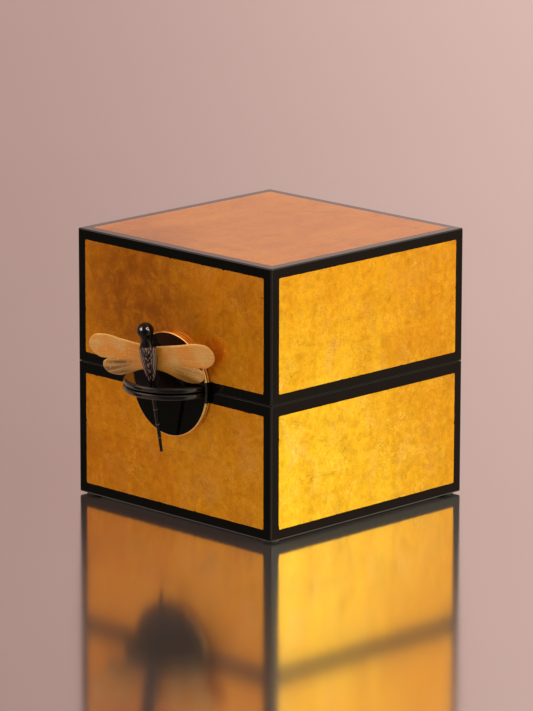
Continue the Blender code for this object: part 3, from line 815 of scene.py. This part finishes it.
# radius and height, from the head down to the foot, in millimetres
THORAX = ((3.95, 25.5), (3.55, 24.7), (3.15, 23.9), (2.85, 23.0), (2.65, 22.1), (2.65, 21.3), (2.95, 20.5),
          (3.45, 19.5), (3.95, 18.5), (4.1, 17.2), (4.1, 15.3), (4.0, 13.0), (3.8, 10.4), (3.3, 7.2),
          (2.65, 4.4), (2.1, 2.4), (1.75, 0.7))
FACE_TURN = math.radians(19)        # the carving faces this way, from the figure's front
BORE_TOP = 9.3 * MM
WING_BED = (4.4 * MM, 17.7 * MM)    # heights of the flat across the thorax that the wings lie in
BED_DEPTH = 2.2 * MM
BORE_LIP = TAIL_RADIUS + 0.3 * MM   # nothing is carved within this of the axis
STRAND_TOP = 20.0 * MM
STRAND_FOOT = 0.9 * MM
CARVED_DEPTH = 0.16 * MM
CARVED_TURN = 2.0                   # radians, each way from the carving's middle
VEE_HEIGHT = 14.8                   # millimetres, where the arms of the V meet
VEE_SLOPE = 1.40
CHEVRON_STEP = 3.3                  # millimetres, from one small V to the next


def thorax_radius(height):
    """The body's radius at a height below the head's middle, from the smoothed profile."""
    heights = [h * MM for _, h in THORAX][::-1] + [HEAD_HEIGHT]
    radii = [r * MM for r, _ in THORAX][::-1] + [HEAD_RADIUS]
    window = 0.5 * MM * ramp(HEAD_HEIGHT - height, 0, 1.5 * MM)
    around = [height + window * k / 3 for k in range(-3, 4)]
    return float(np.mean(np.interp(around, heights, radii)))


def body_profile():
    """Radius and height from the crown of the head down to the foot, and up inside the bore."""
    profile = []
    steps = 30
    for i in range(steps):
        angle = math.pi / 2 * (1 - i / steps)
        radius = 0 if i == 0 else HEAD_RADIUS * math.cos(angle)
        profile.append((radius, HEAD_HEIGHT + HEAD_RADIUS * math.sin(angle)))
    foot = THORAX[-1][1] * MM
    rows = 210
    for i in range(rows + 1):
        height = HEAD_HEIGHT + (foot - HEAD_HEIGHT) * i / rows
        profile.append((thorax_radius(height), height))
    bore = TAIL_RADIUS + 0.05 * MM
    profile += [(bore, foot), (bore, BORE_TOP), (0, BORE_TOP)]
    return profile


def carving_turn(co):
    """How far a point on the thorax is turned from the carving's middle."""
    return (math.atan2(co.x, -co.y) - FACE_TURN + math.pi) % (2 * math.pi) - math.pi


def within_carving(side, hand, height, down):
    """1 inside the carving's torn outline and 0 outside, for a place on the unrolled thorax."""
    tear = noise.noise(Vector((side * 1.1 * hand, height * 0.45, 3.0)))
    teeth = 0.35 * abs(math.sin(height * 1.9))
    half_width = 7.2 * down ** 0.48 + 0.5 * tear - teeth
    top = STRAND_TOP / MM - 0.9 * abs(math.sin(side * 1.45 + 0.5)) - 0.05 * side * side + 0.3 * tear
    return ramp(half_width - side, 0.0, 0.3) * ramp(top - height, 0.0, 0.3)


def strand_share(co):
    """How much a point on the thorax belongs to a light carved strand, from 0 to 1.

    There is a light heart at the top, a dark V round it, small Vs below, and long strands to the foot.
    """
    turn = carving_turn(co)
    reach = math.hypot(co.x, co.y)
    if reach < BORE_LIP or abs(turn) > CARVED_TURN:
        return 0.0
    side = abs(turn * reach / MM)
    hand = 1 if turn > 0 else -1
    height = co.z / MM
    down = ramp(height, STRAND_FOOT / MM, STRAND_TOP / MM)
    vee = height - VEE_HEIGHT - VEE_SLOPE * side
    heart = ramp(vee, 0.0, 0.25) * (1 - 0.85 * ramp(vee, 1.2, 1.5) * ramp(2.4 - vee, 0.0, 0.3))
    small_vees = ramp(math.cos(2 * math.pi * (vee + 1.1) / CHEVRON_STEP + 0.9), -0.5, -0.1)
    body = ramp(-1.1 - vee, 0.0, 0.3) * (small_vees if side < 1.45 * down ** 0.6 else 1.0)
    inner_line = abs(side - 1.55 * down ** 0.6 - 0.12 * math.sin(height))
    outer_line = abs(side - 3.1 * down ** 0.7)
    body *= ramp(inner_line, 0.16, 0.34) * ramp(outer_line, 0.14, 0.32)
    marks = noise.noise(Vector((side * 1.5, height * 0.8, 14.0 - 3.0 * hand)))
    body *= 1 - 0.8 * ramp(marks, 0.18, 0.30) * ramp(1.5 - side, 0.0, 0.3)
    hair = ramp(math.cos(2 * math.pi * (side / 1.15 + 0.9 * noise.noise(co / (2.2 * MM)))), -0.75, 0.1)
    return within_carving(side, hand, height, down) * max(heart, body) * (0.15 + 0.85 * hair)


def dragonfly_body():
    """The head and thorax, with the carving cut round its strands and a flat bed for the wings."""
    bm = turned(body_profile(), 192)
    strand = bm.verts.layers.float.new("strand")
    for v in bm.verts:
        share = strand_share(v.co)
        v[strand] = share
        reach = math.hypot(v.co.x, v.co.y)
        if 0 < v.co.z < STRAND_TOP and reach > BORE_LIP:
            turn = abs(carving_turn(v.co))
            cut = CARVED_DEPTH * (1 - share) * ramp(1.9 - turn, 0, 0.4) * ramp(STRAND_TOP - v.co.z, 0, MM)
            v.co.x *= 1 - cut / reach
            v.co.y *= 1 - cut / reach
        if WING_BED[0] < v.co.z < WING_BED[1]:
            v.co.y = min(v.co.y, BED_DEPTH)
    made = stand("dragonfly_body_carved", bm, CARVED)
    shade(made, 50)
    made.matrix_world = FIGURE
    settle(made, "dragonfly", "black_horn", "dragonfly_body")


TAIL_STRAIGHT = -3.4 * MM           # heights from the ledge's top
TAIL_RINGS = (-13.7 * MM, -21.5 * MM, -28.3 * MM)
TAIL_TIP_RADIUS = 0.7 * MM
TAIL_TAPER = 0.85                   # the taper's power
RING_HALF = 0.4 * MM
RING_RISE = 0.16 * MM
RING_GROOVE = 0.08 * MM             # cut on each side of a ring
RING_PAINTED_HIGHLIGHT = 0.26 * MM               # a ring's crest is painted brown-grey this far: a painted highlight


def dragonfly_tail():
    """The pin: straight in the ledge, then tapering, with three turned rings."""
    along_pin = node_points("dragonfly_tail", PIN)[:, 2]
    top, tip = float(along_pin.max()), float(along_pin.min())

    def radius_at(height):
        share = max(0.0, (TAIL_STRAIGHT - height) / (TAIL_STRAIGHT - tip))
        radius = TAIL_RADIUS + (TAIL_TIP_RADIUS - TAIL_RADIUS) * share ** TAIL_TAPER
        for ring in TAIL_RINGS:
            off = (height - ring) / RING_HALF
            radius += RING_RISE * math.exp(-2.2 * off * off)
            radius -= RING_GROOVE * math.exp(-3 * (abs(off) - 1.5) ** 2)
        return radius

    edge = 0.2 * MM
    profile = [(0, top), (TAIL_RADIUS - edge, top), (TAIL_RADIUS, top - edge)]
    rows = 260
    end = tip + TAIL_TIP_RADIUS * 0.8
    for i in range(rows + 1):
        height = TAIL_STRAIGHT + (end - TAIL_STRAIGHT) * i / rows
        profile.append((radius_at(height), height))
    for i in range(1, 8):
        t = math.pi / 2 * i / 8
        profile.append((radius_at(end) * math.cos(t), end + (tip - end) * math.sin(t)))
    profile.append((0, tip))
    bm = turned(profile, 64)
    # painted highlight: the rings' crests are painted brown-grey where light would catch them
    strand = bm.verts.layers.float.new("strand")
    for v in bm.verts:
        v[strand] = 0.5 * max(math.exp(-((v.co.z - ring) / RING_PAINTED_HIGHLIGHT) ** 2) for ring in TAIL_RINGS)
    made = stand("dragonfly_tail_pin", bm, CARVED)
    shade(made, 50)
    made.matrix_world = PIN
    settle(made, "dragonfly_tail", "black_horn", "dragonfly_tail")


EYE_RADIUS = 0.74 * MM
PUPIL_RADIUS = 0.26 * EYE_RADIUS
PUPIL_HEIGHT = 0.93 * EYE_RADIUS    # over the stud's centre


def stud_profile(size):
    """A dome on a thin collar, and the shank under it."""
    crown = [(math.sin(t), math.cos(t)) for t in (math.radians(75) * i / 12 for i in range(1, 13))]
    dome = [(0, 1.0), *((0.78 * across, 0.22 + 0.78 * up) for across, up in crown)]
    collar = [(0.80, 0.40), (0.94, 0.36), (0.94, 0.18), (0.5, 0.10)]
    shank = [(0.42, -0.9), (0, -0.95)]
    return [(radius * size, height * size) for radius, height in dome + collar + shank]


def eyes():
    """Silver studs let into the head, each with a small dark bead of horn."""
    for hand in ("left", "right"):
        low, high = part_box(f"{hand}_eye")
        centre = FIGURE.inverted() @ ((low + high) / 2)
        out = (centre - Vector((0, 0, HEAD_HEIGHT))).normalized()
        turn = Vector((0, 0, 1)).rotation_difference(out).to_matrix().to_4x4()
        bead = arc(0, PUPIL_HEIGHT, PUPIL_RADIUS, 90, -60, 10)
        pupil = [(0, PUPIL_HEIGHT + PUPIL_RADIUS), *bead[1:], (0, bead[-1][1])]
        stud = stand(f"{hand}_eye_stud", turned(stud_profile(EYE_RADIUS), 48), SILVER)
        dark = stand(f"{hand}_eye_pupil", turned(pupil, 32), HORN)
        shade(stud, 45)
        shade(dark)
        for made in (stud, dark):
            made.matrix_world = FIGURE @ Matrix.Translation(centre) @ turn
        settle(stud, "dragonfly", "silver", f"{hand}_eye")
        settle(dark, "dragonfly", "black_horn")


# Half of the wings' outline, root to root: (span, height, corner), in millimetres
WING_OUTLINE = ((0.3, 5.5, True), (6.5, 4.3, False), (13.8, 1.5, False), (20.4, 0.35, False),
                (25.9, 2.5, False), (26.6, 6.2, False), (24.0, 8.4, True), (28.8, 9.1, False),
                (33.0, 14.0, False), (30.9, 19.3, False), (25.0, 20.9, False), (15.0, 19.3, False),
                (0.3, 16.9, True))
WING_TILT = math.radians(1.28)
WING_MIDDLE = 12.0              # millimetres, as the rest of the wing
WING_BACK = 3.2
WING_HALF = 0.7
WING_RIM = 0.8                  # the rounded rim's width
WING_THIN = (30.0, 60.0, 0.98, 0.60)        # two reaches, and the share of WING_HALF at each
WING_GRID = 0.25
RIM_ROWS = (0.06, 0.18, 0.36, 0.60, 0.9)    # depths of the rows of points that follow the rim
GRID_DEPTH = 1.05               # the grid of points starts this far in
RIM_GLOW = 0.45                 # how far in from the rim the horn is painted paler: a painted glow of the thin edge
LOBE_REACH = (21.0, 30.0)       # the lower lobe's own colour comes in between these
VALLEY_REACH = (26.0, 38.0)     # and so does the valley between the lobes
VALLEY_DEPTH = 0.16
VEIN_DEPTH = 0.010
NICK_DEPTH = 0.10
FAN_PIVOT = (-14.0, 12.0)       # where the veins would meet, inside the body
NOTCH = (24.0, 8.4)


def wing_outline():
    """The outline as a dense polygon, anticlockwise, in millimetres."""
    curve = bpy.data.curves.new("wing_outline", "CURVE")
    curve.dimensions = "2D"
    curve.fill_mode = "NONE"
    curve.resolution_u = 20
    spline = curve.splines.new("BEZIER")
    spline.bezier_points.add(len(WING_OUTLINE) - 1)
    spline.use_cyclic_u = True
    for point, (span, height, corner) in zip(spline.bezier_points, WING_OUTLINE):
        point.co = (span, height, 0)
        point.handle_left_type = point.handle_right_type = "VECTOR" if corner else "AUTO"
    guide = bpy.data.objects.new("wing_outline", curve)
    bpy.context.scene.collection.objects.link(guide)
    mesh = bpy.data.meshes.new_from_object(guide.evaluated_get(bpy.context.evaluated_depsgraph_get()))
    points = np.array([v.co[:2] for v in mesh.vertices])
    bpy.data.objects.remove(guide, do_unlink=True)
    closed = np.vstack([points, points[:1]])
    along = np.concatenate([[0], np.cumsum(np.hypot(*np.diff(closed, axis=0).T))])
    count = int(along[-1] / WING_GRID)
    even = np.linspace(0, along[-1], count, endpoint=False)
    return np.column_stack([np.interp(even, along, closed[:, k]) for k in (0, 1)])


def distance_to(outline, points):
    """The distance from each point to a closed outline."""
    nearest = np.full(len(points), np.inf)
    for a, b in zip(outline, np.roll(outline, -1, axis=0)):
        along = b - a
        share = np.clip(((points - a) @ along) / (along @ along), 0, 1)
        gap = points - (a + share[:, None] * along)
        nearest = np.minimum(nearest, np.hypot(gap[:, 0], gap[:, 1]))
    return nearest


def inside(outline, points):
    """Which points lie inside a closed outline."""
    x, y = points.T
    odd = np.zeros(len(points), bool)
    for a, b in zip(outline, np.roll(outline, -1, axis=0)):
        crosses = (a[1] > y) != (b[1] > y)
        if a[1] != b[1]:
            odd ^= crosses & (x < (b[0] - a[0]) * (y - a[1]) / (b[1] - a[1]) + a[0])
    return odd


def wing_points(outline):
    """Points for the wing's surface: the outline, rows that follow it, and a grid within."""
    following = []
    ahead = np.roll(outline, -1, axis=0) - np.roll(outline, 1, axis=0)
    ahead /= np.hypot(*ahead.T)[:, None]
    inward = np.column_stack([-ahead[:, 1], ahead[:, 0]])
    for depth in RIM_ROWS:
        row = outline + inward * depth
        keep = inside(outline, row) & (distance_to(outline, row) > 0.97 * depth)
        following.append(row[keep])
    low, high = outline.min(0), outline.max(0)
    xs, ys = (np.arange(low[k], high[k], WING_GRID) for k in (0, 1))
    grid = np.array([(x, y) for x in xs for y in ys])
    grid = grid[inside(outline, grid)]
    grid = grid[distance_to(outline, grid) > GRID_DEPTH]
    return np.vstack([outline, *following, grid])


def wing_surface(points):
    """Fan angle in degrees and reach of each point, seen from where the veins meet."""
    off = points - np.array(FAN_PIVOT)
    return np.degrees(np.arctan2(off[:, 1], off[:, 0])), np.hypot(*off.T)


TICK_ROWS = (-12.2, -8.6, -5.6, -1.2, 1.6, 4.6, 7.2)        # degrees in the fan
TICK_START = 19.0               # reach
TICK_STEP = 6.2
TICK_SIZE = (0.16, 0.55)
LOBE_SHARE = {"left": 1.0, "right": 0.85}       # how olive each lower lobe is
MAP_TURN = {"left": 0, "right": 40}             # degrees, so that the wings' streaks differ


def ticks(angle, reach):
    """Short nicks across the veins, in rows: 1 on a nick."""
    share = np.zeros(len(angle))
    for number, row in enumerate(TICK_ROWS):
        for i in range(1, 8):
            at = TICK_START + TICK_STEP * (i + 0.5 * (number % 2)) + 1.2 * math.sin(3.1 * i + number)
            drift = row + 0.5 * math.sin(2.3 * i + 1.7 * number)
            along = (reach - at) / TICK_SIZE[0]
            across = np.radians(angle - drift) * reach / TICK_SIZE[1]
            share = np.maximum(share, np.clip(1.6 - along ** 2 - across ** 2, 0, 1))
    return share


def wing_net(outline):
    """The wing's points and faces, with the outline as its first points."""
    flat = [Vector(p) for p in wing_points(outline).tolist()]
    ring = list(range(len(outline)))
    placed, _, faces, *_ = geometry.delaunay_2d_cdt(flat, [], [ring], 1, 1e-5)
    return np.array([tuple(p) for p in placed]), faces


def share_between(values, low, high):
    """A straight step of each value, 0 at low and 1 at high."""
    return np.clip((values - low) / (high - low), 0, 1)


def wing_relief(depth, angle, reach):
    """Half the wing's thickness at each point, and how far each belongs to the lower lobe, rim and nicks."""
    start, end, thick_start, thick_end = WING_THIN
    round_rim = np.sqrt(np.clip(1 - (1 - share_between(depth, 0, WING_RIM)) ** 2, 0, 1))
    thick = WING_HALF * (thick_start + (thick_end - thick_start) * share_between(reach, start, end))
    notch_angle = math.degrees(math.atan2(NOTCH[1] - FAN_PIVOT[1], NOTCH[0] - FAN_PIVOT[0]))
    lobe = share_between(notch_angle + 0.5 - angle, 0, 1.6) * share_between(reach, *LOBE_REACH)
    valley = np.exp(-((angle - notch_angle) / 0.55) ** 2) * share_between(reach, *VALLEY_REACH)
    veins = np.array([noise.noise(Vector((a * 1.4, r * 0.03, 4.0))) for a, r in zip(angle, reach)])
    nick = ticks(angle, reach)
    cut = VALLEY_DEPTH * valley + VEIN_DEPTH * np.abs(veins) + NICK_DEPTH * nick
    return round_rim * (thick - cut), (lobe, np.exp(-(depth / RIM_GLOW) ** 2), nick * (depth > 0.5))


def wing(hand, side):
    """A carved horn wing: two lobes, thick along the veins and thin at a rounded rim."""
    outline = wing_outline()
    points, faces = wing_net(outline)
    depth = distance_to(outline, points)
    angle, reach = wing_surface(points)
    half, (lobe, rim, nick) = wing_relief(depth, angle, reach)
    lobe = lobe * LOBE_SHARE[hand]
    on_rim = depth < 1e-4

    bm = bmesh.new()
    layers = [bm.verts.layers.float.new(name) for name in ("lower_lobe", "rim", "painted_nick_highlight")]
    maps = bm.loops.layers.uv.new("fan")
    number = {}
    sheets = {-1: [], 1: []}
    for i, (x, z) in enumerate(points):
        for sign, sheet in sheets.items():
            if on_rim[i] and sign == 1:
                sheet.append(sheets[-1][i])
                continue
            v = bm.verts.new((side * x * MM, sign * half[i] * MM, z * MM))
            for layer, values in zip(layers, (lobe, rim, nick)):
                v[layer] = float(values[i])
            sheet.append(v)
            number[v] = i
    for corners in faces:
        bm.faces.new([sheets[-1][i] for i in corners])
        bm.faces.new([sheets[1][i] for i in reversed(corners)])
    for f in bm.faces:
        for loop in f.loops:
            i = number[loop.vert]
            loop[maps].uv = (float(angle[i]) + MAP_TURN[hand], float(reach[i]))
    made = stand(f"{hand}_wing_horn", bm, AMBER)
    made.data.shade_smooth()
    shift = Matrix.Translation((-WING_MIDDLE * MM * math.sin(WING_TILT), WING_BACK * MM, 0))
    made.data.transform(FIGURE @ shift @ Matrix.Rotation(WING_TILT, 4, "Y"))
    settle(made, "dragonfly", "amber_horn", f"{hand}_wing")


def dragonfly():
    dragonfly_tail()
    dragonfly_body()
    eyes()
    wing("left", -1)
    wing("right", 1)


# ---------------------------------------------------------------- hinges, linings and feet
def kept_brass():
    """The hinge leaves and pins keep their CAD shape, with brushed brass on it."""
    for name, node in frame["nodes"].items():
        if "hinge_leaf" in name or name.startswith("hinge_pin"):
            node.data.materials.clear()
            node.data.materials.append(BRASS)


SCREW_TURNS = 14
SCREW_SLOT = (0.16 * MM, 0.35 * MM)     # half its width, and its depth


def screw(node):
    """A slotted countersunk screw in place of its plain CAD body."""
    low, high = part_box(node)
    half = node.split("_")[0]
    head = (high.x - low.x) / 2
    length = high.z - low.z
    shank, root, neck = head / 2, 0.39 * head, -0.55 * head
    soft = 0.1 * MM
    profile = [(0, 0), *arc(head - soft, -soft, soft, 90, 0, 4), (shank, neck)]
    pitch = (length - 1.2 * head) / SCREW_TURNS
    for i in range(SCREW_TURNS):
        at = neck - pitch * i
        profile += [(root, at - pitch / 2), (shank, at - pitch)]
    profile.append((0, -length))
    made = stand(node + "_slotted", turned(profile, 32), BRASS)
    half_width, deep = SCREW_SLOT
    past = 1.2 * head
    carve(made, [stand("slot", block((-past, -half_width, -deep), (past, half_width, MM)))])
    shade(made)
    middle = (low + high) / 2
    start = low.z if half == "lid" else high.z
    flip = math.pi if half == "lid" else 0.0
    twist = (middle.x / MM * 37.0) % math.pi
    made.matrix_world = (Matrix.Translation((middle.x, middle.y, start)) @ Matrix.Rotation(flip, 4, "X")
                         @ Matrix.Rotation(twist, 4, "Z"))
    settle(made, BODIES[half], "hinge_brass", node)


FELT_CELLS = 96
NAP = ((0.05 * MM, 2.2 * MM), (0.04 * MM, 9 * MM))      # depths of the nap's unevenness, and their widths


def lining(half):
    """A felt sheet with a soft, uneven nap on the side that shows."""
    node = f"{half}_lining"
    low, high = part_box(node)
    shows_up = half == "base"
    bm = bmesh.new()
    bmesh.ops.create_grid(bm, x_segments=FELT_CELLS, y_segments=FELT_CELLS, size=0.5)
    bmesh.ops.scale(bm, vec=(high.x - low.x - 0.2 * MM, high.y - low.y - 0.2 * MM, 1), verts=bm.verts[:])
    thickness = high.z - low.z
    solid = bmesh.ops.extrude_face_region(bm, geom=bm.faces[:])
    for v in [g for g in solid["geom"] if isinstance(g, bmesh.types.BMVert)]:
        v.co.z += thickness
    middle = (low + high) / 2
    for v in bm.verts:
        on_top = v.co.z > thickness / 2
        v.co += Vector((middle.x, middle.y, low.z))
        if on_top == shows_up:
            nap = sum(depth * (1 + noise.noise(v.co / width)) for depth, width in NAP)
            v.co.z += -nap if shows_up else nap
    made = stand(node + "_felt", bm, FELT)
    made.data.shade_smooth()
    made.data.set_sharp_from_angle(angle=math.radians(50))
    settle(made, BODIES[half], "black_felt", node)


def foot(node):
    """A moulded pad with a soft edge and a shallow ring underneath."""
    low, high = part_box(node)
    radius = (high.x - low.x) / 2
    tall = high.z - low.z
    soft = 0.18 * MM
    groove = 0.12 * MM
    profile = [(0, tall), *arc(radius - soft, tall - soft, soft, 90, 0, 5),
               *arc(radius - soft, soft, soft, 0, -90, 5), (0.72 * radius, 0), (0.66 * radius, groove),
               (0.58 * radius, groove), (0.52 * radius, 0), (0, 0)]
    made = stand(node + "_pad", turned(profile, 64), RUBBER)
    shade(made)
    made.matrix_world = Matrix.Translation(((low.x + high.x) / 2, (low.y + high.y) / 2, low.z))
    settle(made, "box_base", "foot_rubber", node)


def fittings():
    kept_brass()
    for name in sorted(frame["nodes"]):
        if "hinge_screw" in name:
            screw(name)
        elif name.startswith("foot_"):
            foot(name)
    lining("base")
    lining("lid")


# ---------------------------------------------------------------- studio
CAMERA_TURN = math.radians(44.78)
CAMERA_LIFT = math.radians(13.57)
CAMERA_ROLL = math.radians(0.095)
CAMERA_DISTANCE = 2.3357
CAMERA_LENS = 246.5
AIM_SHIFT = (-1.88 * MM, 2.17 * MM)         # from the cube's middle, across and up in the picture


def camera():
    data = bpy.data.cameras.new("camera")
    data.lens = CAMERA_LENS
    data.sensor_width = 36
    data.clip_start = 0.05
    data.clip_end = 60
    made = bpy.data.objects.new("camera", data)
    bpy.context.scene.collection.objects.link(made)
    level_reach = math.cos(CAMERA_LIFT)
    back = Vector((math.sin(CAMERA_TURN) * level_reach, -math.cos(CAMERA_TURN) * level_reach,
                   math.sin(CAMERA_LIFT)))
    level = (-back).to_track_quat("-Z", "Y")
    right, up = level @ Vector((1, 0, 0)), level @ Vector((0, 1, 0))
    aim = BOX_MIDDLE + right * AIM_SHIFT[0] + up * AIM_SHIFT[1]
    made.rotation_mode = "QUATERNION"
    made.rotation_quaternion = level @ Quaternion((0, 0, 1), CAMERA_ROLL)
    made.location = aim + back * CAMERA_DISTANCE
    bpy.context.scene.camera = made


def softbox(name, place, size, power, tint):
    """A soft light from a rectangle, aimed at the box."""
    data = bpy.data.lights.new(name, "AREA")
    data.shape = "RECTANGLE"
    data.size, data.size_y = size
    data.energy = power
    data.color = tint
    made = bpy.data.objects.new(name, data)
    made.location = place
    made.rotation_mode = "QUATERNION"
    made.rotation_quaternion = (BOX_MIDDLE - Vector(place)).to_track_quat("-Z", "Y")
    made.visible_camera = False
    bpy.context.scene.collection.objects.link(made)


# the light from around the box, by direction
LOW_LEFT = colour(0.86, 0.60, 0.50)
LOW_MIDDLE = colour(0.40, 0.31, 0.26)
LOW_RIGHT = colour(1.42, 1.40, 0.98)
HIGH_LEFT = colour(0.48, 0.33, 0.29)
WALL_LEFT = colour(0.66, 0.440, 0.395)
WALL_RIGHT = colour(1.04, 0.745, 0.675)
HIGH_RIGHT = colour(1.30, 1.28, 1.00)
LEFT_CARD = colour(0.075, 0.072, 0.055)
RIGHT_CARD = colour(0.34, 0.22, 0.16)
NEAR_CARD = colour(0.20, 0.158, 0.132)
TOWARDS_WINDOW = (0.704, 0.710, 0.0)
TOWARDS_LEFT_CARD = (-0.684, -0.690, -0.235)
TOWARDS_RIGHT_CARD = (0.684, 0.690, -0.235)
TOWARDS_NEAR_CARD = (0.700, -0.707, -0.100)
CARD_EDGE = (math.cos(math.radians(15)), math.cos(math.radians(9)))
NEAR_EDGE = (math.cos(math.radians(40)), math.cos(math.radians(22)))


def room():
    """The room's light: pale, bright towards the window, with a darker card low on each side."""
    g = Graph("room", "worlds")
    direction = g.add("ShaderNodeTexCoord").outputs["Generated"]
    height = g.along(direction, (0, 0, 1))

    side = g.along(direction, TOWARDS_WINDOW)
    low = g.mix(g.remap(side, -0.75, -0.25), LOW_LEFT, LOW_MIDDLE)
    low = g.mix(g.remap(side, 0.2, 0.7), low, LOW_RIGHT)
    high = g.mix(g.remap(side, -0.6, -0.2), HIGH_LEFT, WALL_LEFT)
    high = g.mix(g.remap(side, -0.07, 0.10), high, WALL_RIGHT)
    high = g.mix(g.remap(side, 0.2, 0.75), high, HIGH_RIGHT)
    both = g.mix(g.remap(height, -0.10, 0.08), low, high)
    both = g.mix(g.remap(g.along(direction, TOWARDS_NEAR_CARD), *NEAR_EDGE), both, NEAR_CARD)
    both = g.mix(g.remap(g.along(direction, TOWARDS_LEFT_CARD), *CARD_EDGE), both, LEFT_CARD)
    both = g.mix(g.remap(g.along(direction, TOWARDS_RIGHT_CARD), *CARD_EDGE), both, RIGHT_CARD)
    bpy.context.scene.world = g.finish(Color=both)


def studio():
    """A pale polished floor, a pale room and soft light that is strongest from the right."""
    g = Graph("studio_floor")
    cloud = g.noise(g.coordinates(), 3.0, 3)
    g.finish(
        Base_Color=g.mix(cloud, colour(0.47, 0.44, 0.43), colour(0.52, 0.49, 0.48)),
        Metallic=0.93,
        Roughness=g.remap(cloud, 0.3, 0.7, 0.08, 0.12),
    )
    bm = bmesh.new()
    bmesh.ops.create_circle(bm, cap_ends=True, segments=96, radius=18)
    floor = stand("studio_floor", bm, g.owner)
    floor.visible_glossy = False
    room()
    softbox("window", (1.7, 0.75, 0.75), (1.3, 1.1), 13, (1.0, 1.0, 0.86))
    softbox("fill", (-0.9, -1.3, 1.3), (1.4, 1.4), 15, (1.0, 0.78, 0.66))
    bpy.context.scene.view_settings.view_transform = "Standard"


shells()
leaf_skins()
for half_name in BODIES:
    boss(half_name)
for half_name in BODIES:
    ledge(half_name)
dragonfly()
fittings()
camera()
studio()
